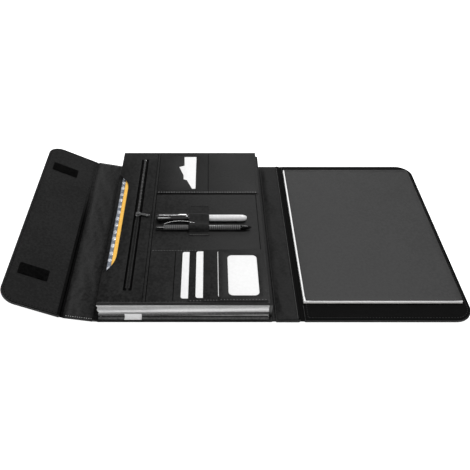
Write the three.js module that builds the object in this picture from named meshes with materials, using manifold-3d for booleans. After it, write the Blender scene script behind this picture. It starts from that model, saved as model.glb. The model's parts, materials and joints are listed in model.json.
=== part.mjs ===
// An open document folder: a back panel with a stack of clear pockets and a zipped organiser leaf,
// a folding spine with a front cover and an A4 pad on the right, a gusset with a closing flap on
// the left. Millimetres, +X along the opened width, +Y away from the reader, +Z up.
// The origin is the middle of the back panel's underside.
import * as THREE from 'three';
import { mergeVertices } from 'three/addons/utils/BufferGeometryUtils.js';
import Module from 'manifold-3d';

// Cover
const coverLength = 343;
const backWidth = 226;
const spineWidth = 32;
const frontWidth = 220;
const gussetWidth = 37.6;
const flapWidth = 81.5;
const creaseWidth = 5;
const gussetTilt = 11;
const flapTilt = 15;
const frontCornerRadius = 24;
const flapCornerRadius = 22;
const spineCornerRadius = 3;

// Layers of a cover panel
const skinThickness = 1.0;
const panelThickness = 4.0;
const liningThickness = 1.1;
const liningInset = 1.2;
const rimWidth = 3.0;
const creaseThickness = 1.4;

// Clearances
const faceGap = 0.3;
const slideGap = 0.15;
const creaseGap = 0.3;

// Clear pockets and what holds them
const pocketCount = 5;
const pocketStackHeight = 21.6;
const pocketStackWidth = backWidth - 5;
const pocketNearMargin = 7;
const pocketFarMargin = 3.5;
const pocketGap = 0.2;
const topSheetThickness = 0.8;
const bindingWidth = 4;
const tabWidth = 22;
const tabThickness = 0.5;
const tabRise = 5.5;
const tabRight = 55.6;

// Organiser leaf
const leafWidth = 220;
const leafRightMargin = 4;
const leafNearMargin = 5.7;
const leafFarMargin = 0.5;
const leafBackThickness = 0.8;
const leafWallWidth = 3;
const mailerSpace = 3.4;
const leafFrontThickness = 1.0;
const thumbCutDepth = 16;
const thumbCutNear = 54;
const thumbCutLength = 225;
const thumbCutNearRun = 42;
const thumbCutFarRun = 34;

// Padded envelope
const mailerWidth = 120;
const mailerLength = 235;
const mailerThickness = 2.0;
const mailerInset = 4.5;
const mailerNear = 48;

// Zip
const zipFromLeft = 37;
const zipNear = 26.5;
const zipFarMargin = 20.5;
const zipSlotWidth = 10;
const zipTapeWidth = 3.2;
const zipTapeThickness = 0.5;
const zipCoilWidth = 1.3;
const zipCoilHeight = 0.8;
const zipTapeDrop = 0.7;
const zipGroove = 0.9;
const zipOpenGap = 2.6;
const zipMergeLength = 14;
const zipStopLength = 4;
const sliderFromNear = 179.7;
const sliderLength = 9;
const sliderWidth = 6.4;
const sliderPlate = 0.9;
const sliderFoot = 0.35;
const sliderWedge = 0.5;
const pullLength = 18.5;
const pullWidth = 4.4;
const pullThickness = 1.0;
const pullHoleRadius = 1.1;
const pullTurn = -16;
const pullEndHole = 1.2;
const pivotRadius = 0.8;
const pivotHeight = 1.7;

// Flat pockets on the leaf
const pocketSkin = 0.4;
const cardThickness = 0.4;
const cardSize = [54, 85.6];
const cardCornerRadius = 3;
const pocketSeamWidth = 2;
const pocketAreaFromLeft = 62;
const pocketAreaWidth = 155;
const cardPocketsTop = 100.2;
const firstPocketStep = 53.8;
const secondPocketStep = 72.7;
const cardReveal = 9.5;
const cardNear = 12.4;
const hiddenCardReveal = 0.8;
const hiddenCardStep = 92.8;
const windowSize = [39.5, 74];
const windowNear = 15.2;
const windowFromLeft = 105.3;
const windowCornerRadius = 6;
const upperPocketNear = 229.5;
const upperPocketLength = 109.2;
const noteFromLeft = 29.4;
const noteNear = 239.5;
const noteSize = [32, 92.5];
const noteWindow = [
  [59.2, 241], [59.4, 329], [39.4, 329], [40.3, 304], [31.8, 300],
  [39.4, 277], [39.8, 266], [45.1, 263.5], [53.8, 241],
];

// Pens and their loop
const markerRadius = 4.8;
const markerLength = 131.8;
const markerLeft = -45.4;
const markerFromNear = 165.5;
const capLength = 49;
const capWall = 0.6;
const neckLength = 36;
const markerRoundLength = 8;
const capRoundLength = 4;
const markerClipLength = 40;
const markerClipWidth = 3;
const markerClipThickness = 0.8;
const penRadius = 3.6;
const penBarrelLength = 113.5;
const penLeft = -33.6;
const penFromNear = 146;
const penTipLength = 12.1;
const clickerRadius = 2.2;
const clickerReach = 11.4;
const clickerDepth = 8;
const clickerTravel = 3;
const penClipLength = 38;
const penClipWidth = 3;
const penClipRise = 3.6;
const penClipThickness = 0.9;
const penClipLean = 45;
const loopWidth = 29;
const loopLeft = 2.5;
const loopThickness = 0.8;
const loopNearTab = 8.3;
const loopFarTab = 26;

// A4 pad
const padWidth = 210;
const padLength = 297;
const padFromCrease = 1.2;
const padFromNear = 28.6;
const padCardThickness = 0.8;
const padPagesThickness = 3.3;
const padCoverThickness = 0.6;
const padHingeBand = 4;
const padCoverSetback = [2.2, 1.2];

// Hook and loop patches
const patchSize = [40, 19];
const patchThickness = 0.8;
const patchFromCrease = 28.5;
const patchFromNear = [59, 290.3];

// Places worked out from the sizes above
const nearEdge = -coverLength / 2;
const farEdge = coverLength / 2;
const backLeft = -backWidth / 2;
const backRight = backWidth / 2;
const spineLeft = backRight + creaseWidth;
const spineRight = spineLeft + spineWidth;
const frontLeft = spineRight + creaseWidth;
const frontRight = frontLeft + frontWidth;
const gussetHingeX = backLeft - creaseWidth / 2;
const rimTop = panelThickness - liningThickness;
const stackTop = panelThickness + pocketStackHeight;
const leafBottom = stackTop + topSheetThickness + faceGap;
const mailerFloor = leafBottom + leafBackThickness;
const leafFrontBottom = mailerFloor + mailerSpace;
const leafTop = leafFrontBottom + leafFrontThickness;
const leafRight = backRight - leafRightMargin;
const leafLeft = leafRight - leafWidth;
const leafNear = nearEdge + leafNearMargin;
const leafFar = farEdge - leafFarMargin;
const bindingRight = backRight - faceGap;
const stackRight = bindingRight - bindingWidth;
const stackLeft = stackRight - pocketStackWidth;
const stackNear = nearEdge + pocketNearMargin;
const stackFar = farEdge - pocketFarMargin;
const zipX = leafLeft + zipFromLeft;
const zipStart = nearEdge + zipNear;
const zipLength = coverLength - zipNear - zipFarMargin;
const sliderY = nearEdge + sliderFromNear;
const areaLeft = leafLeft + pocketAreaFromLeft;
const areaRight = areaLeft + pocketAreaWidth;
const markerY = nearEdge + markerFromNear;
const markerZ = leafTop + faceGap + markerRadius;
const penY = nearEdge + penFromNear;
const penZ = leafTop + faceGap + penRadius;
const padLeft = frontLeft + padFromCrease;
const padNear = nearEdge + padFromNear;

const wasm = await Module();
wasm.setup();

const folder = new THREE.Group();

// Materials

function finish(color, roughness, metalness = 0) {
  return new THREE.MeshStandardMaterial({ color, roughness, metalness });
}

const leather = () => finish(0x2b2b2c, 0.55);
const lining = () => finish(0x242425, 0.65);
const greyBoard = () => finish(0x8d8a84, 0.9);
const clearPlastic = () => finish(0xb9bcbf, 0.25);
const blackFabric = () => finish(0x17171a, 0.95);
const blackPlastic = () => finish(0x141416, 0.35);
const darkMetal = () => finish(0x3a3a3d, 0.3, 0.9);
const chromeMetal = () => finish(0xc8cacc, 0.12, 1);
const whiteCard = () => finish(0xf4f4f2, 0.6);
const yellowPaper = () => finish(0xf2b93b, 0.8);

// Shapes

function addMesh(parent, name, geometry, material) {
  const mesh = new THREE.Mesh(geometry, material);
  mesh.name = name;
  parent.add(mesh);
  return mesh;
}

// An outline with its own corner radius at the near left, near right, far right and far left.
function outline(x0, x1, y0, y1, radii = [0, 0, 0, 0]) {
  const [nearLeft, nearRight, farRight, farLeft] = radii;
  const shape = new THREE.Shape();
  shape.moveTo(x0 + nearLeft, y0);
  shape.lineTo(x1 - nearRight, y0);
  if (nearRight) shape.absarc(x1 - nearRight, y0 + nearRight, nearRight, -Math.PI / 2, 0, false);
  shape.lineTo(x1, y1 - farRight);
  if (farRight) shape.absarc(x1 - farRight, y1 - farRight, farRight, 0, Math.PI / 2, false);
  shape.lineTo(x0 + farLeft, y1);
  if (farLeft) shape.absarc(x0 + farLeft, y1 - farLeft, farLeft, Math.PI / 2, Math.PI, false);
  shape.lineTo(x0, y0 + nearLeft);
  if (nearLeft) shape.absarc(x0 + nearLeft, y0 + nearLeft, nearLeft, Math.PI, Math.PI * 1.5, false);
  return shape;
}

function plate(shape, z0, z1, curveSegments = 8) {
  const geometry = new THREE.ExtrudeGeometry(shape, { depth: z1 - z0, bevelEnabled: false, curveSegments });
  return geometry.translate(0, 0, z0);
}

function box(x0, x1, y0, y1, z0, z1) {
  const geometry = new THREE.BoxGeometry(x1 - x0, y1 - y0, z1 - z0);
  return geometry.translate((x0 + x1) / 2, (y0 + y1) / 2, (z0 + z1) / 2);
}

// A body turned about the X axis from pairs of place along X and radius.
function turnedAlongX(profile, y, z, segments = 20) {
  const points = profile.map(([x, radius]) => new THREE.Vector2(radius, x));
  const geometry = new THREE.LatheGeometry(points, segments);
  geometry.rotateZ(-Math.PI / 2);
  return geometry.translate(0, y, z);
}

function toManifold(geometry) {
  const bare = geometry.clone();
  bare.deleteAttribute('normal');
  bare.deleteAttribute('uv');
  const merged = mergeVertices(bare, 1e-4);
  return new wasm.Manifold(new wasm.Mesh({
    numProp: 3,
    vertProperties: new Float32Array(merged.attributes.position.array),
    triVerts: new Uint32Array(merged.index.array),
  }));
}

function fromManifold(solid) {
  const mesh = solid.getMesh();
  const geometry = new THREE.BufferGeometry();
  geometry.setAttribute('position', new THREE.BufferAttribute(mesh.vertProperties, 3));
  geometry.setIndex(new THREE.BufferAttribute(mesh.triVerts, 1));
  geometry.computeVertexNormals();
  return geometry;
}

function cut(geometry, ...tools) {
  let solid = toManifold(geometry);
  for (const tool of tools) solid = solid.subtract(toManifold(tool));
  return fromManifold(solid);
}

function join(geometry, ...others) {
  let solid = toManifold(geometry);
  for (const other of others) solid = solid.add(toManifold(other));
  return fromManifold(solid);
}

// Cover panels: a turned-up outer skin that holds a board, under a sewn lining. The top of the
// lining is at z = top. Where the panel is tilted, its layers keep a small gap.

function coverPanel(parent, name, x0, x1, radii, top, gap, skinCuts = []) {
  const bottom = top - panelThickness;
  const skinFloor = bottom + skinThickness;
  const rim = bottom + rimTop;
  const inner = radii.map((radius) => Math.max(radius - rimWidth, 0));
  const skinBlock = plate(outline(x0, x1, nearEdge, farEdge, radii), bottom, rim);
  const hollow = plate(
    outline(x0 + rimWidth, x1 - rimWidth, nearEdge + rimWidth, farEdge - rimWidth, inner), skinFloor, top);
  addMesh(parent, `${name}_outer_skin`, cut(skinBlock, hollow, ...skinCuts), leather());

  const boardInset = rimWidth + faceGap;
  const boardRadii = radii.map((radius) => Math.max(radius - boardInset, 0));
  const board = outline(
    x0 + boardInset, x1 - boardInset, nearEdge + boardInset, farEdge - boardInset, boardRadii);
  addMesh(parent, `${name}_board`, plate(board, skinFloor + gap, rim - gap), greyBoard());

  const liningRadii = radii.map((radius) => Math.max(radius - liningInset, 0));
  const sheet = outline(
    x0 + liningInset, x1 - liningInset, nearEdge + liningInset, farEdge - liningInset, liningRadii);
  addMesh(parent, `${name}_lining`, plate(sheet, rim + gap, top), lining());
}

function creaseStrip(parent, name, x0, top) {
  const strip = box(
    x0 + creaseGap, x0 + creaseWidth - creaseGap, nearEdge + liningInset, farEdge - liningInset,
    top - creaseThickness, top);
  addMesh(parent, name, strip, leather());
}

const spineRadii = [0, spineCornerRadius, spineCornerRadius, 0];
coverPanel(folder, 'back', backLeft, backRight, [0, 0, 0, 0], panelThickness, 0);
coverPanel(folder, 'spine', spineLeft, spineRight, spineRadii, panelThickness, 0);

// The loop patches are let into the underside of the front cover, where the closed flap meets them.
const closedFrontRight = backRight + creaseWidth / 2;
const patchReach = patchFromCrease + patchSize[0];
const patchLeft = frontLeft - creaseWidth / 2 + closedFrontRight - gussetHingeX - patchReach;
const patchCentres = patchFromNear.map((distance) => nearEdge + distance);

function patch(x0, yMiddle, z0, z1, grow = 0) {
  return box(x0 - grow, x0 + patchSize[0] + grow,
    yMiddle - patchSize[1] / 2 - grow, yMiddle + patchSize[1] / 2 + grow, z0, z1);
}

const frontRadii = [0, frontCornerRadius, frontCornerRadius, 0];
const patchRecesses = patchCentres.map((y) => patch(patchLeft, y, -1, patchThickness, faceGap));
coverPanel(folder, 'front', frontLeft, frontRight, frontRadii, panelThickness, 0, patchRecesses);
addMesh(folder, 'loop_patch_near', patch(patchLeft, patchCentres[0], 0, patchThickness), blackFabric());
addMesh(folder, 'loop_patch_far', patch(patchLeft, patchCentres[1], 0, patchThickness), blackFabric());

creaseStrip(folder, 'spine_crease', backRight, panelThickness);
creaseStrip(folder, 'cover_crease', spineRight, panelThickness);
creaseStrip(folder, 'gusset_crease', backLeft - creaseWidth, panelThickness);

// Soft gusset, raised a little about its crease
const gusset = new THREE.Group();
gusset.position.set(gussetHingeX, 0, panelThickness);
gusset.rotation.y = THREE.MathUtils.degToRad(gussetTilt);
folder.add(gusset);
const gussetRight = -creaseWidth / 2;
const gussetLeft = gussetRight - gussetWidth;
const gussetShape = outline(gussetLeft, gussetRight, nearEdge, farEdge);
addMesh(gusset, 'gusset', plate(gussetShape, -panelThickness, 0), leather());
creaseStrip(gusset, 'flap_crease', gussetLeft - creaseWidth, 0);

// Flap, raised further about the outer crease
const flap = new THREE.Group();
flap.position.set(gussetLeft - creaseWidth / 2, 0, 0);
flap.rotation.y = THREE.MathUtils.degToRad(flapTilt);
gusset.add(flap);
const flapRight = -creaseWidth / 2 + slideGap;
const flapRadii = [flapCornerRadius, 0, 0, flapCornerRadius];
coverPanel(flap, 'flap', -flapWidth, flapRight, flapRadii, 0, faceGap);
const hookLeft = -patchReach;
const hookBase = faceGap;
addMesh(flap, 'hook_patch_near', patch(hookLeft, patchCentres[0], hookBase, hookBase + patchThickness),
  blackFabric());
addMesh(flap, 'hook_patch_far', patch(hookLeft, patchCentres[1], hookBase, hookBase + patchThickness),
  blackFabric());

// Clear pockets, bound along the spine side
const pocketPitch = pocketStackHeight / pocketCount;
for (let i = 0; i < pocketCount; i += 1) {
  const z0 = panelThickness + i * pocketPitch;
  const inset = (i % 2) * 1.0;
  const pocket = box(stackLeft + inset, stackRight - faceGap, stackNear + inset, stackFar,
    z0, z0 + pocketPitch - pocketGap);
  addMesh(folder, `clear_pocket_${i + 1}`, pocket, clearPlastic());
}
const binding = box(stackRight, bindingRight, stackNear, stackFar, panelThickness, stackTop - pocketGap);
addMesh(folder, 'binding_strip', binding, blackPlastic());
const topSheet = outline(stackLeft, bindingRight, stackNear, stackFar);
addMesh(folder, 'top_sheet', plate(topSheet, stackTop, stackTop + topSheetThickness), clearPlastic());

// White index tab, folded from the front of the stack down onto the edge of the back panel
const tabX = leafLeft + tabRight;
const tabFront = stackNear - faceGap;
const tab = join(
  box(tabX - tabWidth, tabX, tabFront - tabThickness, tabFront, panelThickness, panelThickness + tabRise),
  box(tabX - tabWidth, tabX, nearEdge + liningInset, tabFront,
    panelThickness, panelThickness + tabThickness));
addMesh(folder, 'index_tab', tab, whiteCard());

// Organiser leaf: back sheet, wall on three sides, front panel with a thumb cut and a zip slot
const leafBack = outline(leafLeft, leafRight, leafNear, leafFar);
addMesh(folder, 'leaf_back', plate(leafBack, leafBottom, mailerFloor), lining());
const leafWall = cut(
  plate(leafBack, mailerFloor, leafFrontBottom),
  box(leafLeft - 1, leafRight - leafWallWidth, leafNear + leafWallWidth, leafFar - leafWallWidth,
    mailerFloor - 1, leafFrontBottom + 1));
addMesh(folder, 'leaf_wall', leafWall, leather());

function thumbCut(z0, z1) {
  const start = nearEdge + thumbCutNear;
  const end = start + thumbCutLength;
  const shape = new THREE.Shape();
  shape.moveTo(leafLeft - 1, start - 1);
  shape.lineTo(leafLeft, start);
  shape.bezierCurveTo(
    leafLeft + thumbCutDepth * 0.5, start + thumbCutNearRun * 0.35,
    leafLeft + thumbCutDepth, start + thumbCutNearRun * 0.5,
    leafLeft + thumbCutDepth, start + thumbCutNearRun);
  shape.lineTo(leafLeft + thumbCutDepth, end - thumbCutFarRun);
  shape.bezierCurveTo(
    leafLeft + thumbCutDepth, end - thumbCutFarRun * 0.5,
    leafLeft + thumbCutDepth * 0.5, end - thumbCutFarRun * 0.35, leafLeft, end);
  shape.lineTo(leafLeft - 1, end + 1);
  return plate(shape, z0, z1);
}

const zipSlot = box(zipX - zipSlotWidth / 2, zipX + zipSlotWidth / 2, zipStart, zipStart + zipLength,
  leafFrontBottom - 1, leafTop + 1);
const leafFront = cut(
  plate(leafBack, leafFrontBottom, leafTop), thumbCut(leafFrontBottom - 1, leafTop + 1), zipSlot);
addMesh(folder, 'leaf_front', leafFront, leather());

// Zip: two tapes in the slot, a row of coil along each, closed beyond the slider and open before it
const zipEnd = zipStart + zipLength - faceGap;
const tapeTop = leafTop - zipTapeDrop;
for (const side of [-1, 1]) {
  const word = side < 0 ? 'left' : 'right';
  const outer = zipX + side * (zipSlotWidth / 2 - slideGap);
  const inner = outer - side * zipTapeWidth;
  const tape = box(Math.min(outer, inner), Math.max(outer, inner), zipStart + faceGap, zipEnd,
    tapeTop - zipTapeThickness, tapeTop);
  addMesh(folder, `zip_tape_${word}`, tape, blackFabric());

  const closed = side * zipGroove / 2;
  const open = side * zipOpenGap / 2;
  const width = side * zipCoilWidth;
  const turn = sliderY - sliderLength / 2 - zipMergeLength;
  const coil = new THREE.Shape();
  coil.moveTo(zipX + closed, zipEnd - zipStopLength);
  coil.lineTo(zipX + closed, sliderY - sliderLength / 2);
  coil.lineTo(zipX + open, turn);
  coil.lineTo(zipX + open, zipStart + zipStopLength);
  coil.lineTo(zipX + open + width, zipStart + zipStopLength);
  coil.lineTo(zipX + open + width, turn);
  coil.lineTo(zipX + closed + width, sliderY - sliderLength / 2);
  coil.lineTo(zipX + closed + width, zipEnd - zipStopLength);
  addMesh(folder, `zip_coil_${word}`, plate(coil, tapeTop, tapeTop + zipCoilHeight), darkMetal());
}
const stopHalf = zipGroove / 2 + zipCoilWidth;
const farStop = box(zipX - stopHalf, zipX + stopHalf, zipEnd - zipStopLength + faceGap, zipEnd,
  tapeTop, tapeTop + zipCoilHeight);
addMesh(folder, 'zip_stop', farStop, darkMetal());

// Slider: two plates joined by a wedge in the groove between the coils, and a peg for the pull
const coilTop = tapeTop + zipCoilHeight;
const sliderHalf = sliderWidth / 2;
const pegZ = coilTop + slideGap + sliderPlate;
const sliderBottom = tapeTop - zipTapeThickness - slideGap;
const peg = new THREE.CylinderGeometry(pivotRadius, pivotRadius, pivotHeight, 16);
peg.rotateX(Math.PI / 2);
peg.translate(zipX, sliderY, pegZ + pivotHeight / 2 - 0.1);
const slider = join(
  box(zipX - sliderHalf, zipX + sliderHalf, sliderY - sliderLength / 2, sliderY + sliderLength / 2,
    coilTop + slideGap, pegZ),
  box(zipX - sliderWedge / 2, zipX + sliderWedge / 2, sliderY - 2, sliderY + 2, sliderBottom, pegZ),
  box(zipX - sliderHalf, zipX + sliderHalf, sliderY - sliderLength / 2, sliderY + sliderLength / 2,
    sliderBottom - sliderFoot, sliderBottom),
  peg);
addMesh(folder, 'zip_slider', slider, darkMetal());

const pullShape = outline(zipX - pullWidth / 2, zipX + pullLength, sliderY - pullWidth / 2,
  sliderY + pullWidth / 2, [2, 2, 2, 2]);
const pullHole = new THREE.Path();
pullHole.absarc(zipX, sliderY, pullHoleRadius, 0, Math.PI * 2, true);
const pullEnd = new THREE.Path();
pullEnd.absarc(zipX + pullLength - pullWidth / 2, sliderY, pullEndHole, 0, Math.PI * 2, true);
pullShape.holes.push(pullHole, pullEnd);
const pullZ = pegZ + slideGap;
const pull = plate(pullShape, pullZ, pullZ + pullThickness, 4);
pull.translate(-zipX, -sliderY, 0);
pull.rotateZ(THREE.MathUtils.degToRad(pullTurn));
pull.translate(zipX, sliderY, 0);
addMesh(folder, 'zip_pull', pull, darkMetal());

// Flat pockets, each a sheet over a shallow space that is sewn on three sides and open on the left
const pocketDepth = cardThickness + 2 * slideGap;
const pocketRise = pocketDepth + pocketSkin;

function flatPocket(x0, x1, y0, y1, z0, cuts = []) {
  const space = box(x0 - 1, x1 - pocketSeamWidth, y0 + pocketSeamWidth, y1 - pocketSeamWidth,
    z0 - 1, z0 + pocketDepth);
  return cut(box(x0, x1, y0, y1, z0, z0 + pocketRise), space, ...cuts);
}

function card(x0, y0, size, z0) {
  const shape = outline(x0, x0 + size[0], y0, y0 + size[1], Array(4).fill(cardCornerRadius));
  return plate(shape, z0, z0 + cardThickness, 4);
}

const cardPocketSteps = [firstPocketStep, secondPocketStep];
const cardTop = nearEdge + cardPocketsTop;
const cardY = nearEdge + cardNear;
const pocketFront = leafNear + 1;
cardPocketSteps.forEach((step, i) => {
  const x0 = areaLeft + step;
  const z0 = leafTop + i * pocketRise;
  const pocket = flatPocket(x0, areaRight, pocketFront, cardTop, z0);
  addMesh(folder, `card_pocket_${i + 1}`, pocket, leather());
  addMesh(folder, `card_${i + 1}`, card(x0 - cardReveal, cardY, cardSize, z0 + slideGap), whiteCard());
});

// The last pocket has a window, with a card behind it and the edge of another at its mouth
const windowZ = leafTop + cardPocketSteps.length * pocketRise;
const windowX = areaLeft + windowFromLeft;
const windowY = nearEdge + windowNear;
const windowHole = plate(
  outline(windowX, windowX + windowSize[0], windowY, windowY + windowSize[1],
    Array(4).fill(windowCornerRadius)), windowZ, windowZ + pocketRise + 1, 6);
const windowPocketX = areaLeft + hiddenCardStep;
const windowPocket = flatPocket(windowPocketX, areaRight, pocketFront, cardTop, windowZ, [windowHole]);
addMesh(folder, 'window_pocket', windowPocket, leather());
const windowCard = card(windowPocketX - hiddenCardReveal, cardY, cardSize, windowZ + slideGap);
addMesh(folder, 'window_card', windowCard, whiteCard());

// Upper pocket with a stepped opening over a note card, its mouth towards the reader
const upperNear = nearEdge + upperPocketNear;
const upperFar = upperNear + upperPocketLength;
const noteHole = new THREE.Shape(
  noteWindow.map(([x, y]) => new THREE.Vector2(areaLeft + x, nearEdge + y)));
const upperSpace = box(areaLeft + pocketSeamWidth, areaRight - pocketSeamWidth, upperNear - 1,
  upperFar - pocketSeamWidth, leafTop - 1, leafTop + pocketDepth);
const upperPocket = cut(
  box(areaLeft, areaRight, upperNear, upperFar, leafTop, leafTop + pocketRise), upperSpace,
  plate(noteHole, leafTop - 1, leafTop + pocketRise + 1));
addMesh(folder, 'upper_pocket', upperPocket, leather());
const note = card(areaLeft + noteFromLeft, nearEdge + noteNear, noteSize, leafTop + slideGap);
addMesh(folder, 'note_card', note, whiteCard());

// Padded envelope between the leaf's back sheet and its front panel
const mailerX = leafLeft + mailerInset;
const mailerY = nearEdge + mailerNear;
const mailerZ = mailerFloor + faceGap;
const mailer = plate(outline(mailerX, mailerX + mailerWidth, mailerY, mailerY + mailerLength),
  mailerZ, mailerZ + mailerThickness);
addMesh(folder, 'padded_envelope', mailer, yellowPaper());

// Marker: barrel with a neck, hollow cap, flat clip on the cap
const capRight = markerLeft + capLength;
const markerRight = markerLeft + markerLength;
const neckRadius = markerRadius - capWall - faceGap;
const barrelProfile = [
  [capRight - neckLength, 0],
  [capRight - neckLength, neckRadius],
  [capRight + faceGap, neckRadius],
  [capRight + faceGap, markerRadius],
  [markerRight - markerRoundLength, markerRadius],
  [markerRight - markerRoundLength * 0.5, markerRadius * 0.93],
  [markerRight - markerRoundLength * 0.2, markerRadius * 0.75],
  [markerRight, markerRadius * 0.4],
  [markerRight, 0],
];
addMesh(folder, 'marker_barrel', turnedAlongX(barrelProfile, markerY, markerZ), whiteCard());
const capProfile = [
  [markerLeft, 0],
  [markerLeft, markerRadius * 0.7],
  [markerLeft + capRoundLength * 0.5, markerRadius * 0.95],
  [markerLeft + capRoundLength, markerRadius],
  [capRight, markerRadius],
  [capRight, markerRadius - capWall],
  [capRight - neckLength - 2, markerRadius - capWall],
  [capRight - neckLength - 2, 0],
];
addMesh(folder, 'marker_cap', turnedAlongX(capProfile, markerY, markerZ), chromeMetal());
const clipHeight = markerZ + markerRadius + faceGap;
const clipLeft = markerLeft + capRoundLength;
const markerClip = box(clipLeft, clipLeft + markerClipLength,
  markerY - markerClipWidth / 2, markerY + markerClipWidth / 2, clipHeight, clipHeight + markerClipThickness);
addMesh(folder, 'marker_clip', markerClip, chromeMetal());

// Pen: barrel with a bore for the clicker, black tip, bowed clip that leans away from the reader
const penRight = penLeft + penBarrelLength;
const boreRadius = clickerRadius + faceGap;
const boreDepth = clickerDepth + clickerTravel + faceGap;
const penProfile = [
  [penLeft, boreRadius],
  [penLeft, penRadius - 0.4],
  [penLeft + 1, penRadius],
  [penRight, penRadius],
  [penRight, 0],
  [penLeft + boreDepth, 0],
  [penLeft + boreDepth, boreRadius],
  [penLeft, boreRadius],
];
addMesh(folder, 'pen_barrel', turnedAlongX(penProfile, penY, penZ), blackPlastic());
const tipProfile = [
  [penRight + slideGap, 0],
  [penRight + slideGap, penRadius * 0.95],
  [penRight + penTipLength * 0.35, penRadius * 0.85],
  [penRight + penTipLength * 0.85, penRadius * 0.5],
  [penRight + penTipLength, penRadius * 0.25],
  [penRight + penTipLength, 0],
];
addMesh(folder, 'pen_tip', turnedAlongX(tipProfile, penY, penZ), blackPlastic());
const clickerProfile = [
  [penLeft - clickerReach, 0],
  [penLeft - clickerReach, clickerRadius - 0.3],
  [penLeft - clickerReach + 0.5, clickerRadius],
  [penLeft + clickerDepth, clickerRadius],
  [penLeft + clickerDepth, 0],
];
addMesh(folder, 'pen_clicker', turnedAlongX(clickerProfile, penY, penZ, 16), chromeMetal());

function bowedClip() {
  const x0 = penLeft + 1;
  const x1 = x0 + penClipLength;
  const middle = (x0 + x1) / 2;
  const foot = penRadius + faceGap;
  const shape = new THREE.Shape();
  shape.moveTo(x0, foot);
  shape.quadraticCurveTo(middle, foot + 2 * penClipRise, x1, foot);
  shape.lineTo(x1, foot + penClipThickness);
  shape.quadraticCurveTo(middle, foot + 2 * penClipRise + penClipThickness, x0, foot + penClipThickness);
  const geometry = new THREE.ExtrudeGeometry(shape,
    { depth: penClipWidth, bevelEnabled: false, curveSegments: 12 });
  geometry.translate(0, 0, -penClipWidth / 2);
  geometry.rotateX(THREE.MathUtils.degToRad(penClipLean));
  return geometry.translate(0, penY, penZ);
}
addMesh(folder, 'pen_clip', bowedClip(), chromeMetal());

// Elastic loop over pen and marker, sewn down on both sides
function loopProfile(spread) {
  const points = [];
  const steps = 8;
  for (let i = 0; i <= steps; i += 1) {
    const angle = Math.PI - (Math.PI / 2) * (i / steps);
    const radius = penRadius + spread;
    points.push([penY + radius * Math.cos(angle), penZ + radius * Math.sin(angle)]);
  }
  for (let i = 0; i <= steps; i += 1) {
    const angle = (Math.PI / 2) * (1 - i / steps);
    const radius = markerRadius + spread;
    points.push([markerY + radius * Math.cos(angle), markerZ + radius * Math.sin(angle)]);
  }
  return points;
}

function penLoop() {
  const inside = loopProfile(2 * faceGap + markerClipThickness);
  const outside = loopProfile(2 * faceGap + markerClipThickness + loopThickness);
  const first = outside[0][0] - loopNearTab;
  const last = outside.at(-1)[0] + loopFarTab;
  const band = leafTop + loopThickness;
  const points = [
    [first, leafTop], [first, band], [outside[0][0], band], ...outside,
    [outside.at(-1)[0], band], [last, band], [last, leafTop],
    [inside.at(-1)[0], leafTop], ...inside.toReversed(), [inside[0][0], leafTop],
  ];
  const shape = new THREE.Shape(points.map(([y, z]) => new THREE.Vector2(y, z)));
  const geometry = new THREE.ExtrudeGeometry(shape, { depth: loopWidth, bevelEnabled: false });
  geometry.applyMatrix4(new THREE.Matrix4().makeBasis(
    new THREE.Vector3(0, 1, 0), new THREE.Vector3(0, 0, 1), new THREE.Vector3(1, 0, 0)));
  return geometry.translate(loopLeft, 0, 0);
}
addMesh(folder, 'pen_loop', penLoop(), blackFabric());

// A4 pad on the front cover: backing card, pages, and a cover that turns over the far edge
const padRight = padLeft + padWidth;
const padFar = padNear + padLength;
const padCardTop = panelThickness + padCardThickness;
const pagesTop = padCardTop + padPagesThickness;
addMesh(folder, 'pad_backing_card', box(padLeft, padRight, padNear, padFar, panelThickness, padCardTop),
  greyBoard());
addMesh(folder, 'pad_pages', box(padLeft, padRight, padNear, padFar, padCardTop, pagesTop), whiteCard());
const padCoverZ = pagesTop + slideGap;
addMesh(folder, 'pad_cover',
  box(padLeft + padCoverSetback[0], padRight, padNear + padCoverSetback[1], padFar - padHingeBand,
    padCoverZ, padCoverZ + padCoverThickness),
  lining());
addMesh(folder, 'pad_binding',
  box(padLeft + padCoverSetback[0], padRight, padFar - padHingeBand + faceGap, padFar,
    pagesTop, padCoverZ + padCoverThickness),
  lining());

export default folder;
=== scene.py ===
import json
import math
import random

import bmesh
import bpy
from mathutils import Matrix, Vector, noise

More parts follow.
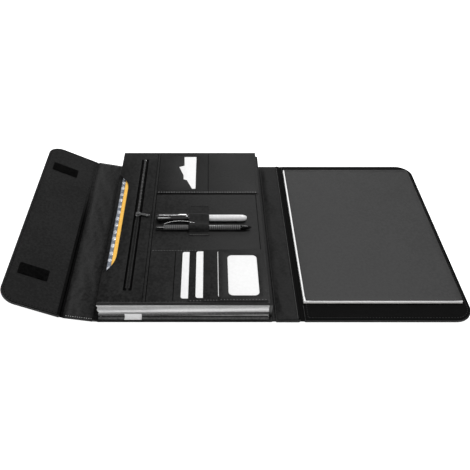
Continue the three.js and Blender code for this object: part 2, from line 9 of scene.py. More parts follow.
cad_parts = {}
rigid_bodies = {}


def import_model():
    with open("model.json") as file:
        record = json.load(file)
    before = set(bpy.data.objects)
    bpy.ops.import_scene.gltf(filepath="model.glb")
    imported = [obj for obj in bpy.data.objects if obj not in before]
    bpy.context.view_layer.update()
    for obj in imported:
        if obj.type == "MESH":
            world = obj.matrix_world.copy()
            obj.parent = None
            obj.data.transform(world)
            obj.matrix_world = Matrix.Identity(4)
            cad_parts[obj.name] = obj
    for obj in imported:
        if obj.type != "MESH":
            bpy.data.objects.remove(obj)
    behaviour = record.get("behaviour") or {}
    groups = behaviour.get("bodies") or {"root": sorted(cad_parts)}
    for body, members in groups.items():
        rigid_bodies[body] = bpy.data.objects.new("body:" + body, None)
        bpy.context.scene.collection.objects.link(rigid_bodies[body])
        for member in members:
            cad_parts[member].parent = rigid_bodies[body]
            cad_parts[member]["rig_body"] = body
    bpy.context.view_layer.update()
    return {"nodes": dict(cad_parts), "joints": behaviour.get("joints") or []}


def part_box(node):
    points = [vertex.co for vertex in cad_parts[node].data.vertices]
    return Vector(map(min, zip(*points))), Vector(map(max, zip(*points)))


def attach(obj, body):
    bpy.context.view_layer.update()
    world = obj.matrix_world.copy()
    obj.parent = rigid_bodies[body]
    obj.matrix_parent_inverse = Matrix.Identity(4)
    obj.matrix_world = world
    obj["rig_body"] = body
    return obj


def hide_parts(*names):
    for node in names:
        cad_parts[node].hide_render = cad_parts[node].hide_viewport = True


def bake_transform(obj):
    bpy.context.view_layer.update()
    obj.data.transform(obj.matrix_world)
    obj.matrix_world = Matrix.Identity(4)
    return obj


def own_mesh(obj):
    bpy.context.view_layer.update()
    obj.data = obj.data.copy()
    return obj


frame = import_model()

# Pieces are modelled in millimetres and turned into metres when they are finished
mm = 0.001
random.seed(11)
nodes = frame["nodes"]
joints = {joint["name"]: joint for joint in frame["joints"]}
up = Vector((0, 0, 1))
square = (0, 0, 0, 0)        # corners that aren't rounded


def addObject(name, data):
    item = bpy.data.objects.new(name, data)
    bpy.context.scene.collection.objects.link(item)
    return item


# Camera at the photograph's angle

cameraSettings = {
    "place": (0.0318, -0.6488, 0.5759), "pitchDown": 42.88,
    "lens": 44.05, "sensor": 36, "shiftX": 0.0546, "shiftY": 0.0257,
}


def addCamera(settings):
    data = bpy.data.cameras.new("folderCamera")
    data.lens = settings["lens"]
    data.sensor_width = settings["sensor"]
    data.shift_x = settings["shiftX"]
    data.shift_y = settings["shiftY"]
    camera = addObject("folderCamera", data)
    camera.location = settings["place"]
    camera.rotation_euler = (math.radians(90 - settings["pitchDown"]), 0, 0)
    bpy.context.scene.camera = camera


addCamera(cameraSettings)

# Shader helpers

number = "NodeSocketFloat"
colour = "NodeSocketColor"


def grey(value):
    return (value, value, value, 1)


def feed(tree, node, inputs):
    # Each socket is linked to another node's, or set to a plain value
    for label, value in inputs.items():
        if isinstance(value, bpy.types.NodeSocket):
            tree.links.new(value, node.inputs[label])
        else:
            node.inputs[label].default_value = value


def addNode(tree, kind, inputs=None, **settings):
    node = tree.nodes.new(kind)
    for key, value in settings.items():
        setattr(node, key, value)
    feed(tree, node, inputs or {})
    return node


def objectPlace(tree):
    return addNode(tree, "ShaderNodeTexCoord").outputs["Object"]


def mathNode(tree, operation, *values):
    return addNode(tree, "ShaderNodeMath", dict(enumerate(values)), operation=operation).outputs[0]


def newGroup(name, inputs, outputs):
    group = bpy.data.node_groups.new(name, "ShaderNodeTree")
    for label, kind, value in inputs:
        socket = group.interface.new_socket(name=label, in_out="INPUT", socket_type=kind)
        socket.default_value = value
    for label, kind in outputs:
        group.interface.new_socket(name=label, in_out="OUTPUT", socket_type=kind)
    return group, group.nodes.new("NodeGroupInput"), group.nodes.new("NodeGroupOutput")


grainSettings = {"wobble": 320, "wobbleShare": 0.0016, "finer": 2.7, "coarseShare": 0.75}


def makeLeatherGrain(settings):
    # Pebbled cells with finer ones between them, for every leather surface
    group, start, end = newGroup("leatherGrain", [("Scale", number, 900)], [("Height", number)])
    place = objectPlace(group)
    wobble = addNode(group, "ShaderNodeTexNoise", {"Vector": place, "Scale": settings["wobble"], "Detail": 2})
    mixed = addNode(group, "ShaderNodeMix", {
        "Factor": settings["wobbleShare"], 4: place, 5: wobble.outputs["Color"]}, data_type="VECTOR")
    share = settings["coarseShare"]
    heights = []
    for feature, factor, part in (("SMOOTH_F1", 1.0, share), ("F1", settings["finer"], 1 - share)):
        cells = addNode(group, "ShaderNodeTexVoronoi", {
            "Vector": mixed.outputs[1],
            "Scale": mathNode(group, "MULTIPLY", start.outputs["Scale"], factor)}, feature=feature)
        heights.append(mathNode(group, "MULTIPLY", cells.outputs["Distance"], part))
    feed(group, end, {"Height": mathNode(group, "SUBTRACT", 1.0, mathNode(group, "ADD", *heights))})
    return group


shadeSettings = {"detail": 5, "roughness": 0.62, "darkest": 0.40, "lightest": 0.60, "specks": 300}


def makeSlowShade(settings):
    # Two close colours that drift into each other over a few centimetres
    group, start, end = newGroup(
        "slowShade",
        [("Scale", number, 18), ("Speckle", number, 0.6),
         ("Dark", colour, (0, 0, 0, 1)), ("Light", colour, (1, 1, 1, 1))],
        [("Color", colour), ("Mask", number)])
    place = objectPlace(group)
    cloud = addNode(group, "ShaderNodeTexNoise", {
        "Vector": place, "Scale": start.outputs["Scale"],
        "Detail": settings["detail"], "Roughness": settings["roughness"]})
    speck = addNode(group, "ShaderNodeTexNoise", {"Vector": place, "Scale": settings["specks"], "Detail": 2})
    both = addNode(group, "ShaderNodeMix", {
        "Factor": start.outputs["Speckle"], 2: cloud.outputs["Fac"], 3: speck.outputs["Fac"]},
        data_type="FLOAT")
    spread = addNode(group, "ShaderNodeMapRange", {
        "Value": both.outputs[0], "From Min": settings["darkest"], "From Max": settings["lightest"]})
    mixed = addNode(group, "ShaderNodeMix", {
        "Factor": spread.outputs[0], 6: start.outputs["Dark"], 7: start.outputs["Light"]}, data_type="RGBA")
    feed(group, end, {"Color": mixed.outputs[2], "Mask": spread.outputs[0]})
    return group


def makeWeave():
    # Crossing threads of tape and cloth
    group, start, end = newGroup("clothWeave", [("Scale", number, 700)], [("Height", number)])
    place = objectPlace(group)
    heights = []
    for direction in ("X", "Y"):
        wave = addNode(group, "ShaderNodeTexWave", {
            "Vector": place, "Scale": start.outputs["Scale"], "Distortion": 0.6, "Detail": 1},
            bands_direction=direction)
        heights.append(wave.outputs["Fac"])
    feed(group, end, {"Height": mathNode(group, "MAXIMUM", *heights)})
    return group


def makeFineLines():
    # Parallel lines across one axis, for ribs, page edges and brushed metal
    group, start, end = newGroup(
        "fineLines", [("Scale", number, 300), ("Turn", number, 0)], [("Height", number)])
    turn = addNode(group, "ShaderNodeVectorRotate", {
        "Vector": objectPlace(group), "Angle": start.outputs["Turn"]}, rotation_type="Y_AXIS")
    wave = addNode(group, "ShaderNodeTexWave", {
        "Vector": turn.outputs["Vector"], "Scale": start.outputs["Scale"],
        "Distortion": 0.35, "Detail": 2, "Detail Scale": 3}, bands_direction="X")
    feed(group, end, {"Height": wave.outputs["Fac"]})
    return group


leatherGrain = makeLeatherGrain(grainSettings)
slowShade = makeSlowShade(shadeSettings)
clothWeave = makeWeave()
fineLines = makeFineLines()


def plainMaterial(name, constants):
    material = bpy.data.materials.new(name)
    material.use_nodes = True
    tree = material.node_tree
    shader = tree.nodes["Principled BSDF"]
    feed(tree, shader, constants)
    return material, tree, shader


def newMaterial(name, shades, roughness, constants, shadeScale):
    # A surface whose colour and roughness drift between two values
    material, tree, shader = plainMaterial(name, constants)
    shade = addNode(tree, "ShaderNodeGroup", {
        "Scale": shadeScale, "Dark": shades[0], "Light": shades[1]}, node_tree=slowShade)
    rough = addNode(tree, "ShaderNodeMapRange", {
        "Value": shade.outputs["Mask"], "To Min": roughness[0], "To Max": roughness[1]})
    feed(tree, shader, {"Base Color": shade.outputs["Color"], "Roughness": rough.outputs[0]})
    return material, tree, shader


def addBump(tree, shader, height, strength, distance):
    # A bump over the one that is there already; distance is in metres
    bump = addNode(tree, "ShaderNodeBump", {"Strength": strength, "Distance": distance, "Height": height})
    before = shader.inputs["Normal"].links
    if before:
        feed(tree, bump, {"Normal": before[0].from_socket})
    feed(tree, shader, {"Normal": bump.outputs["Normal"]})


def addRelief(tree, shader, group, strength, distance, **values):
    # Relief from one of the shared height groups
    source = addNode(tree, "ShaderNodeGroup", values, node_tree=group)
    addBump(tree, shader, source.outputs["Height"], strength, distance)


def addSoftDents(tree, shader, scale, distance):
    # Wide shallow dents, as in soft leather
    cloud = addNode(tree, "ShaderNodeTexNoise", {"Vector": objectPlace(tree), "Scale": scale, "Detail": 3})
    addBump(tree, shader, cloud.outputs["Fac"], 1, distance)


def leatherFinish(name, low, high, scale=1000, grain=0.00014, dents=0.0006, roughness=(0.44, 0.6),
                  specular=0.2):
    material, tree, shader = newMaterial(
        name, (grey(low), grey(high)), roughness, {"Specular IOR Level": specular}, 14)
    addSoftDents(tree, shader, 22, dents)
    addRelief(tree, shader, leatherGrain, 0.8, grain, Scale=scale)
    return material


def paperFinish(name, low, high):
    material, tree, shader = newMaterial(name, (low, high), (0.55, 0.7), {"Specular IOR Level": 0.3}, 40)
    addSoftDents(tree, shader, 900, 0.00003)
    return material


def clothFinish(name, low, high, scale, distance, sheen=0.15, specular=0.2):
    material, tree, shader = newMaterial(
        name, (grey(low), grey(high)), (0.8, 0.95),
        {"Specular IOR Level": specular, "Sheen Weight": sheen, "Sheen Roughness": 0.4}, 60)
    addRelief(tree, shader, clothWeave, 1, distance, Scale=scale)
    return material


def metalFinish(name, low, high, roughness):
    material, tree, shader = newMaterial(name, (grey(low), grey(high)), roughness, {"Metallic": 1.0}, 50)
    addRelief(tree, shader, fineLines, 0.25, 0.00001, Scale=900, Turn=math.pi / 2)
    return material


def glossFinish(name, low, high, roughness, coat=0.5):
    material, tree, shader = newMaterial(
        name, (low, high), roughness, {"Coat Weight": coat, "Coat Roughness": 0.08}, 45)
    addSoftDents(tree, shader, 500, 0.00001)
    return material


finishes = {
    # Leather: two greys, scale and depth of the grain, depth of the dents, roughness, specular
    "cover": leatherFinish("coverLeather", 0.003, 0.014),
    "leaf": leatherFinish("leafLeather", 0.002, 0.012, 1150, 0.0001, 0.0004, specular=0.15),
    "lining": leatherFinish("liningLeather", 0.001, 0.013, 1300, 0.00012, 0.0004, (0.5, 0.66), 0.12),
    "flapLining": leatherFinish("flapLiningLeather", 0.001, 0.013, 1300, 0.00012, 0.0004,
                                (0.5, 0.66), 0.08),
    # The front lining is darkened with painted shade for the pad's shadow; the spine's seam and the cover's
    # crease use it too
    "frontLining": leatherFinish("frontLiningShadeLeather", 0.0002, 0.002, 1300, 0.0001, 0.0004,
                                 (0.6, 0.75), 0.05),
    "gusset": leatherFinish("gussetLeather", 0.001, 0.011, 900, 0.00012, 0.0014, (0.42, 0.55), 0.15),
    # A lighter leather that paints the highlight on the back's near lip
    "lip": leatherFinish("lipHighlightLeather", 0.09, 0.14, 1300, 0.0001, 0.0002),
    # A lighter leather that paints the highlight along lit edges
    "rim": leatherFinish("rimHighlightLeather", 0.03, 0.055, 1300, 0.0001, 0.0002),
    "padCover": leatherFinish("padCoverFinish", 0.022, 0.034, 1800, 0.0001, 0.0003, (0.5, 0.6)),
    "penTip": leatherFinish("penTipFinish", 0.0004, 0.001, 2500, 0.00001, 0.00002, (0.12, 0.18)),
    # Cloth and thread: two greys, scale and depth of the weave, sheen, specular
    "thread": clothFinish("threadFinish", 0.32, 0.46, 2500, 0.00003),
    "seamThread": clothFinish("seamThreadFinish", 0.10, 0.16, 2500, 0.00003),
    "dullThread": clothFinish("dullThreadFinish", 0.03, 0.05, 2500, 0.00003, 0, 0.05),
    "darkThread": clothFinish("darkThreadFinish", 0.0005, 0.002, 2500, 0.00003, 0, 0.05),
    "shadowLine": clothFinish("shadowLineFinish", 0.0002, 0.0005, 2500, 0.00001, 0, 0.01),
    "tape": clothFinish("zipTapeFinish", 0.0005, 0.002, 1300, 0.0001, 0, 0.05),
    "elastic": clothFinish("elasticFinish", 0.008, 0.020, 1500, 0.00006, 0.05),
    "hook": clothFinish("hookFinish", 0.0001, 0.0035, 1800, 0.0001, 0, 0.05),
    # Board and paper
    "board": paperFinish("greyBoardFinish", (0.22, 0.21, 0.19, 1), (0.30, 0.29, 0.27, 1)),
    "paper": paperFinish("whitePaperFinish", grey(0.82), grey(0.86)),
    "pages": paperFinish("pageFinish", grey(0.93), grey(0.96)),
    "yellow": paperFinish("yellowPaperFinish", (0.86, 0.46, 0.065, 1), (0.95, 0.56, 0.11, 1)),
    # Film and plastic: two colours, roughness and coat
    "film": glossFinish("bubbleFilmFinish", (0.10, 0.12, 0.15, 1), (0.20, 0.22, 0.26, 1), (0.12, 0.25)),
    # The bubbles are painted lighter than the film, as painted highlights
    "bubble": glossFinish("bubbleHighlightFinish", (0.30, 0.32, 0.36, 1), (0.62, 0.64, 0.68, 1), (0.10, 0.2), 0.8),
    # The film's colour is replaced below by painted shade and reflection
    "sleeve": glossFinish("sleeveFilmPaintedSheenFinish", grey(0.30), grey(0.72), (0.22, 0.38), 0.3),
    "blackPlastic": glossFinish("blackPlasticFinish", grey(0.002), grey(0.005), (0.4, 0.5), 0.05),
    # The closed teeth's lighter grey is a painted highlight
    "zipCoilHighlight": glossFinish("zipCoilHighlightFinish", grey(0.03), grey(0.07), (0.18, 0.28)),
    "capGloss": glossFinish("capGlossFinish", grey(0.003), grey(0.007), (0.05, 0.09), 1.0),
    "markerWhite": glossFinish("markerWhiteFinish", grey(0.68), grey(0.76), (0.3, 0.38), 0.4),
    # Metal: two greys, roughness
    "darkMetal": metalFinish("darkMetalFinish", 0.18, 0.28, (0.18, 0.3)),
    "chrome": metalFinish("chromeFinish", 0.55, 0.7, (0.06, 0.12)),
    "clipChrome": metalFinish("clipChromeFinish", 0.20, 0.28, (0.08, 0.14)),
}


def addLinesTo(finish, distance, scale, turn=0):
    tree = finishes[finish].node_tree
    addRelief(tree, tree.nodes["Principled BSDF"], fineLines, 1, distance, Scale=scale, Turn=turn)


# Painted shadow along the flap's fold: its grey near the reader, and where it fades into the leather
foldShadowSettings = {
    "shades": (0.004, 0.016), "paintedShadowGrey": 0.0003, "fades": (0.01, 0.09), "roughness": (0.6, 0.75),
}


def makeFoldShadowFinish(settings):
    # Leather of the flap's fold with painted shadow: nearly black near the reader, fading to dull leather
    # further off
    shades = [grey(shade) for shade in settings["shades"]]
    material, tree, shader = newMaterial(
        "foldShadowLeather", shades, settings["roughness"], {"Specular IOR Level": 0.05}, 14)
    parts = addNode(tree, "ShaderNodeSeparateXYZ", {0: objectPlace(tree)})
    first, last = settings["fades"]
    fade = addNode(tree, "ShaderNodeMapRange", {
        "Value": parts.outputs["Y"], "From Min": first, "From Max": last}, interpolation_type="SMOOTHSTEP")
    mixed = addNode(tree, "ShaderNodeMix", {
        "Factor": fade.outputs[0], 6: grey(settings["paintedShadowGrey"]),
        7: shader.inputs["Base Color"].links[0].from_socket}, data_type="RGBA")
    feed(tree, shader, {"Base Color": mixed.outputs[2]})
    addRelief(tree, shader, leatherGrain, 0.8, 0.0001, Scale=1000)
    return material


carbonSettings = {"shades": (0.0005, 0.17), "roughness": (0.42, 0.24)}


def makeWovenCarbon(settings):
    # Light bands that zigzag round the barrel, on its own map
    group, start, end = newGroup("carbonWeave", [("Over", number, 0.5)], [("Mask", number)])
    place = addNode(group, "ShaderNodeUVMap", uv_map="barrelMap").outputs["UV"]
    parts = addNode(group, "ShaderNodeSeparateXYZ", {0: place})
    lean = mathNode(group, "MULTIPLY", mathNode(group, "PINGPONG", parts.outputs["Y"], 1), 0.5)
    phase = mathNode(group, "MODULO", mathNode(group, "ADD", parts.outputs["X"], lean), 1)
    feed(group, end, {"Mask": mathNode(group, "LESS_THAN", phase, start.outputs["Over"])})
    material, tree, shader = plainMaterial(
        "carbonFinish", {"Specular IOR Level": 0.2, "Coat Weight": 0.1, "Coat Roughness": 0.1})
    mask = addNode(tree, "ShaderNodeGroup", node_tree=group).outputs["Mask"]
    dark, light = settings["shades"]
    mixed = addNode(tree, "ShaderNodeMix", {"Factor": mask, 6: grey(dark), 7: grey(light)}, data_type="RGBA")
    low, high = settings["roughness"]
    rough = addNode(tree, "ShaderNodeMapRange", {"Value": mask, "To Min": low, "To Max": high})
    feed(tree, shader, {"Base Color": mixed.outputs[2], "Roughness": rough.outputs[0]})
    return material


sleeveSheenSettings = {
    "foot": 0.004, "rise": 0.0216, "climb": 0.022, "stretch": (7, 7, 420), "wander": 0.34,
    "greys": ((0.0, 0.42), (0.09, 0.05), (0.22, 0.16), (0.34, 0.56), (0.44, 1.0), (0.53, 0.98), (0.64, 0.60),
              (0.82, 0.52), (1.0, 0.66)),
}


def makeSleevePaintedSheen(settings):
    # Painted light on the film: dark painted shade at the foot, a bright band of painted reflection that
    # climbs to the right, soft grey above it
    group, start, end = newGroup(
        "sleevePaintedSheen", [("Foot", number, settings["foot"]), ("Rise", number, settings["rise"])],
        [("Color", colour)])
    place = objectPlace(group)
    parts = addNode(group, "ShaderNodeSeparateXYZ", {0: place})
    climb = mathNode(group, "MULTIPLY", parts.outputs["X"], settings["climb"])
    height = mathNode(group, "SUBTRACT", mathNode(group, "SUBTRACT", parts.outputs["Z"], climb),
                      start.outputs["Foot"])
    share = mathNode(group, "DIVIDE", height, start.outputs["Rise"])
    stretch = addNode(group, "ShaderNodeMapping", {"Vector": place, "Scale": settings["stretch"]})
    sheenNoise = addNode(group, "ShaderNodeTexNoise", {
        "Vector": stretch.outputs["Vector"], "Scale": 1.0, "Detail": 3})
    wander = mathNode(group, "MULTIPLY", mathNode(group, "SUBTRACT", sheenNoise.outputs["Fac"], 0.5),
                      settings["wander"])
    ramp = addNode(group, "ShaderNodeValToRGB", {"Fac": mathNode(group, "ADD", share, wander)})
    stops = ramp.color_ramp.elements
    for index, (at, value) in enumerate(settings["greys"]):
        stop = stops[index] if index < 2 else stops.new(at)
        stop.position = at
        stop.color = grey(value)
    feed(group, end, {"Color": ramp.outputs["Color"]})
    tree = finishes["sleeve"].node_tree
    paintedSheen = addNode(tree, "ShaderNodeGroup", node_tree=group)
    feed(tree, tree.nodes["Principled BSDF"], {"Base Color": paintedSheen.outputs["Color"]})


addLinesTo("elastic", 0.0002, 260)
addLinesTo("pages", 0.00008, 1400, math.pi / 2)
makeSleevePaintedSheen(sleeveSheenSettings)
finishes["carbon"] = makeWovenCarbon(carbonSettings)
finishes["fold"] = makeFoldShadowFinish(foldShadowSettings)
print("finishes made")

# Mesh helpers

meshSettings = {"weld": 0.003, "flatAngle": 0.8, "lineThickness": 0.06, "lineLift": 0.02}


def boxOf(node):
    low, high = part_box(node)
    return [value / mm for value in (low.x, high.x, low.y, high.y, low.z, high.z)]


def axisOf(node):
    # Where a round body's long axis lies, and its radius
    y0, y1, z0, z1 = boxOf(node)[2:]
    return (y0 + y1) / 2, (z0 + z1) / 2, (y1 - y0) / 2


def bevelSharp(bm, offset, segments=2, angle=40):
    limit = math.radians(angle)
    edges = [e for e in bm.edges if len(e.link_faces) == 2 and e.calc_face_angle(0) > limit]
    bmesh.ops.bevel(bm, geom=edges, offset=offset, segments=segments, profile=0.5,
                    affect="EDGES", material=-1, clamp_overlap=True)


def meshFrom(name, bm):
    mesh = bpy.data.meshes.new(name)
    bm.to_mesh(mesh)
    bm.free()
    return mesh


def joinPart(bm, part):
    # One more closed shape in a bmesh that holds several
    mesh = meshFrom("onePart", part)
    bm.from_mesh(mesh)
    bpy.data.meshes.remove(mesh)


def finishPiece(name, bm, finish, body, standsFor="", sharp=38):
    limit = math.radians(sharp)
    for face in bm.faces:
        face.smooth = True
    for edge in bm.edges:
        edge.smooth = len(edge.link_faces) != 2 or edge.calc_face_angle(0) < limit
    bmesh.ops.scale(bm, vec=(mm, mm, mm), verts=bm.verts)
    mesh = meshFrom(name, bm)
    mesh.materials.append(finishes[finish])
    piece = addObject(name, mesh)
    if standsFor:
        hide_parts(standsFor)
    if body:
        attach(piece, body)
    return piece


def copyOf(node, offset, segments=2):
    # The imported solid's own shape with its edges softened
    bm = bmesh.new()
    bm.from_mesh(nodes[node].data)
    bmesh.ops.scale(bm, vec=(1 / mm,) * 3, verts=bm.verts)
    bmesh.ops.remove_doubles(bm, verts=bm.verts, dist=meshSettings["weld"])
    flat = math.radians(meshSettings["flatAngle"])
    bmesh.ops.dissolve_limit(bm, angle_limit=flat, verts=bm.verts, edges=bm.edges)
    bevelSharp(bm, offset, segments)
    return bm


def addCopy(name, node, offset, finish, body, segments=2):
    return finishPiece(name, copyOf(node, offset, segments), finish, body, node)


def roundCorners(bm, x0, x1, y0, y1, radii):
    corners = ((x0, y0, 1, 1), (x1, y0, -1, 1), (x1, y1, -1, -1), (x0, y1, 1, -1))
    for vert in bm.verts:
        for (cornerX, cornerY, signX, signY), radius in zip(corners, radii):
            centreX = cornerX + signX * radius
            centreY = cornerY + signY * radius
            across = (centreX - vert.co.x) * signX
            along = (centreY - vert.co.y) * signY
            if radius > 0 and across > 0 and along > 0:
                a = across / radius
                b = along / radius
                vert.co.x = centreX - signX * radius * a * math.sqrt(1 - b * b / 2)
                vert.co.y = centreY - signY * radius * b * math.sqrt(1 - a * a / 2)
                break


def smooth(value):
    value = max(0, min(1, value))
    return value * value * (3 - 2 * value)


def softSlab(area, z0, z1, radii=square, cell=7.0, edge=0.5, relief=None, margin=6.0):
    # A closed sheet with round edges whose top can swell or crease
    x0, x1, y0, y1 = area
    columns = max(2, round((x1 - x0) / cell))
    rows = max(2, round((y1 - y0) / cell))
    bm = bmesh.new()
    bmesh.ops.create_grid(bm, x_segments=columns, y_segments=rows, size=0.5)
    bmesh.ops.scale(bm, vec=(x1 - x0, y1 - y0, 1), verts=bm.verts)
    bmesh.ops.translate(bm, vec=((x0 + x1) / 2, (y0 + y1) / 2, 0), verts=bm.verts)
    roundCorners(bm, x0, x1, y0, y1, radii)
    bmesh.ops.solidify(bm, geom=bm.faces[:], thickness=1)
    middle = sum(vert.co.z for vert in bm.verts) / len(bm.verts)
    for vert in bm.verts:
        vert.co.z = z1 if vert.co.z > middle else z0
    bmesh.ops.recalc_face_normals(bm, faces=bm.faces)
    bevelSharp(bm, min(edge, (z1 - z0) * 0.45), 3, 50)
    if relief:
        for vert in bm.verts:
            reach = min(vert.co.x - x0, x1 - vert.co.x, vert.co.y - y0, y1 - vert.co.y)
            share = smooth(reach / margin) if margin else 1
            vert.co.z += relief(vert.co.x, vert.co.y) * share * (vert.co.z - z0) / (z1 - z0)
    return bm


def gentleWaves(size, depth, seed):
    def relief(x, y):
        return depth * (noise.noise(Vector((x / size, y / size, seed))) - 0.35)
    return relief


def addPaintedShadowLine(bm, centre, width, length):
    # A thin strip that lies on the leather and draws a dark line of painted shadow on it
    x, y, z = centre
    made = bmesh.ops.create_cube(bm, size=1)["verts"]
    shape = Matrix.Diagonal((width, length, meshSettings["lineThickness"], 1))
    place = Matrix.Translation((x, y, z + meshSettings["lineLift"]))
    bmesh.ops.transform(bm, matrix=place @ shape, verts=made)


stitchSettings = {"pitch": 3.9, "length": 2.1, "width": 1.0, "height": 0.4, "lean": 4.0}


def addStitch(bm, centre, along, normal, length):
    # One thread between two holes, a long bead sunk a little into the leather
    made = bmesh.ops.create_icosphere(bm, subdivisions=1, radius=0.5)["verts"]
    side = normal.cross(along)
    turn = Matrix((along, side, normal)).transposed().to_4x4()
    size = Matrix.Diagonal((length, stitchSettings["width"], stitchSettings["height"] * 2, 1))
    lean = Matrix.Rotation(math.radians(stitchSettings["lean"] * random.uniform(0.4, 1)), 4, "Z")
    bmesh.ops.transform(bm, matrix=Matrix.Translation(centre) @ turn @ lean @ size, verts=made)


def addStitchRow(bm, first, last, pitch=0):
    first = Vector(first)
    run = Vector(last) - first
    pitch = pitch or stitchSettings["pitch"]
    count = max(1, round(run.length / pitch))
    along = run.normalized()
    length = stitchSettings["length"] * min(1, pitch / stitchSettings["pitch"])
    for index in range(count):
        addStitch(bm, first + run * ((index + 0.5) / count), along, up, length)


def addStitchArc(bm, centre, radius, startAngle, z):
    # A quarter circle of stitches, counter-clockwise from startAngle in degrees
    count = max(1, round(radius * math.pi / 2 / stitchSettings["pitch"]))
    for index in range(count):
        angle = math.radians(startAngle + 90 * (index + 0.5) / count)
        place = Vector((centre[0] + radius * math.cos(angle), centre[1] + radius * math.sin(angle), z))
        addStitch(bm, place, Vector((-math.sin(angle), math.cos(angle), 0)), up, stitchSettings["length"])


def addStitchFrame(bm, area, inset, z, radii=square, sides="nrfl"):
    # Stitches inside a panel's edges: n near, r right, f far, l left
    x0, x1, y0, y1 = area
    x0 += inset
    x1 -= inset
    y0 += inset
    y1 -= inset
    nearLeft, nearRight, farRight, farLeft = [max(0, radius - inset) for radius in radii]
    rows = {
        "n": ((x0 + nearLeft, y0, z), (x1 - nearRight, y0, z)),
        "r": ((x1, y0 + nearRight, z), (x1, y1 - farRight, z)),
        "f": ((x1 - farRight, y1, z), (x0 + farLeft, y1, z)),
        "l": ((x0, y1 - farLeft, z), (x0, y0 + nearLeft, z)),
    }
    for side, (first, last) in rows.items():
        if side in sides:
            addStitchRow(bm, first, last)
    corners = (
        (x1 - nearRight, y0 + nearRight, nearRight, 270), (x1 - farRight, y1 - farRight, farRight, 0),
        (x0 + farLeft, y1 - farLeft, farLeft, 90), (x0 + nearLeft, y0 + nearLeft, nearLeft, 180),
    )
    for x, y, radius, startAngle in corners:
        if radius:
            addStitchArc(bm, (x, y), radius, startAngle, z)


def addStitches(name, rows, finish, body, pitch=0):
    # A piece made of straight rows, each a pair of ends
    bm = bmesh.new()
    for first, last in rows:
        addStitchRow(bm, first, last, pitch)
    finishPiece(name, bm, finish, body)


def turnAboutJoint(bm, jointName, degrees):
    # Local millimetres, with their origin on the joint's axis, to the row frame
    place = Vector(joints[jointName]["pos_m"]) / mm
    turn = Matrix.Translation(place) @ Matrix.Rotation(math.radians(degrees), 4, "Y")
    bmesh.ops.transform(bm, matrix=turn, verts=bm.verts)
    return turn


gussetTilt = -joints["gusset_fold"]["range_deg"][0]
flapTilt = gussetTilt - joints["flap_fold"]["range_deg"][0]

# Cover panels: outer skin with turned edges, sewn lining with gentle waves

panelSettings = {
    "skinEdge": 0.7, "liningEdge": 0.45, "stitchInset": 3.4, "waveSize": 70, "waveDepth": 0.35,
    "corners": {"back": square, "spine": (0, 2, 2, 0), "front": (0, 22.8, 22.8, 0)},
    "cells": {"back": 10.0, "spine": 2.2, "front": 8.0},
}


def addSkin(label):
    addCopy(label + "Skin", label + "_outer_skin", panelSettings["skinEdge"], "cover", label, 3)


def addFlatPanel(label, relief, sides, liningFinish, threadFinish):
    addSkin(label)
    x0, x1, y0, y1, z0, z1 = boxOf(label + "_lining")
    area = (x0, x1, y0, y1)
    radii = panelSettings["corners"][label]
    bm = softSlab(area, z0, z1, radii, panelSettings["cells"][label], panelSettings["liningEdge"], relief)
    finishPiece(label + "Lining", bm, liningFinish, label, label + "_lining")
    stitches = bmesh.new()
    addStitchFrame(stitches, area, panelSettings["stitchInset"], z1, radii, sides)
    finishPiece(label + "Stitching", stitches, threadFinish, label)


spineSettings = {"base": 0.5, "swell": 1.1, "longFold": 1.5, "shortFold": 0.35}


def spineFolds(x, y):
    # Soft folds that run down the spine
    x0, x1 = boxOf("spine_lining")[:2]
    share = (x - x0) / (x1 - x0)
    drift = noise.noise(Vector((x * 0.05 + y * 0.03, y * 0.022 - x * 0.02, 4.0)))
    short = noise.noise(Vector((x * 0.12 + y * 0.05, y * 0.05, 9.0)))
    swell = spineSettings["base"] + spineSettings["swell"] * math.sin(share * math.pi)
    return swell + spineSettings["longFold"] * drift + spineSettings["shortFold"] * short


waves = gentleWaves(panelSettings["waveSize"], panelSettings["waveDepth"], 2.0)
addFlatPanel("back", waves, "rfl", "lining", "thread")
addFlatPanel("spine", spineFolds, "nf", "lining", "thread")
addFlatPanel("front", waves, "nrfl", "frontLining", "dullThread")

lipSettings = {"setback": 0.7, "width": 4.4, "rise": 0.25, "beadPitch": 2.0}


def addNearLip(settings):
    # The band in front of the clear pockets, painted lighter as a highlight, with small black beads of thread
    left, right = boxOf("clear_pocket_1")[:2]
    top = boxOf("back_lining")[5]
    near = boxOf("back_lining")[2] + settings["setback"]
    high = top + settings["rise"]
    band = softSlab((left + 1, right, near, near + settings["width"]), top - 0.1, high, cell=9, edge=0.12)
    finishPiece("backLipHighlight", band, "lip", "back")
    y = near + settings["width"] / 2
    tabLeft, tabRight = boxOf("index_tab")[:2]
    runs = ((left + 2, tabLeft - 0.5), (tabRight + 0.5, right - 1))
    rows = [((first, y, high), (last, y, high)) for first, last in runs]
    addStitches("backLipBeads", rows, "darkThread", "back", settings["beadPitch"])


# Edge and rim: where each starts and ends across, its rise and its rounding
seamSettings = {"left": 146.2, "sink": 0.4, "edge": (0, 3.4, 1.3, 0.5), "rim": (-0.6, 0.3, 1.5, 0.3)}


def addSpineSeam(settings):
    # The cover's turned edge, sewn along the right of the spine, darkened with painted shade, and its rim
    # painted lighter as a highlight
    y0, y1 = boxOf("spine_lining")[2:4]
    top = boxOf("spine_lining")[5]
    for name, part, finish in (("spineSeam", "edge", "frontLining"), ("spineSeamHighlightRim", "rim", "rim")):
        first, last, rise, roundness = settings[part]
        area = (settings["left"] + first, settings["left"] + last, y0 + 1, y1 - 1)
        bm = softSlab(area, top - settings["sink"], top + rise, cell=2.5, edge=roundness)
        finishPiece(name, bm, finish, "spine")


addNearLip(lipSettings)
addSpineSeam(seamSettings)
print("back, spine and front cover made")

# Gusset: a soft concave side with long wrinkles

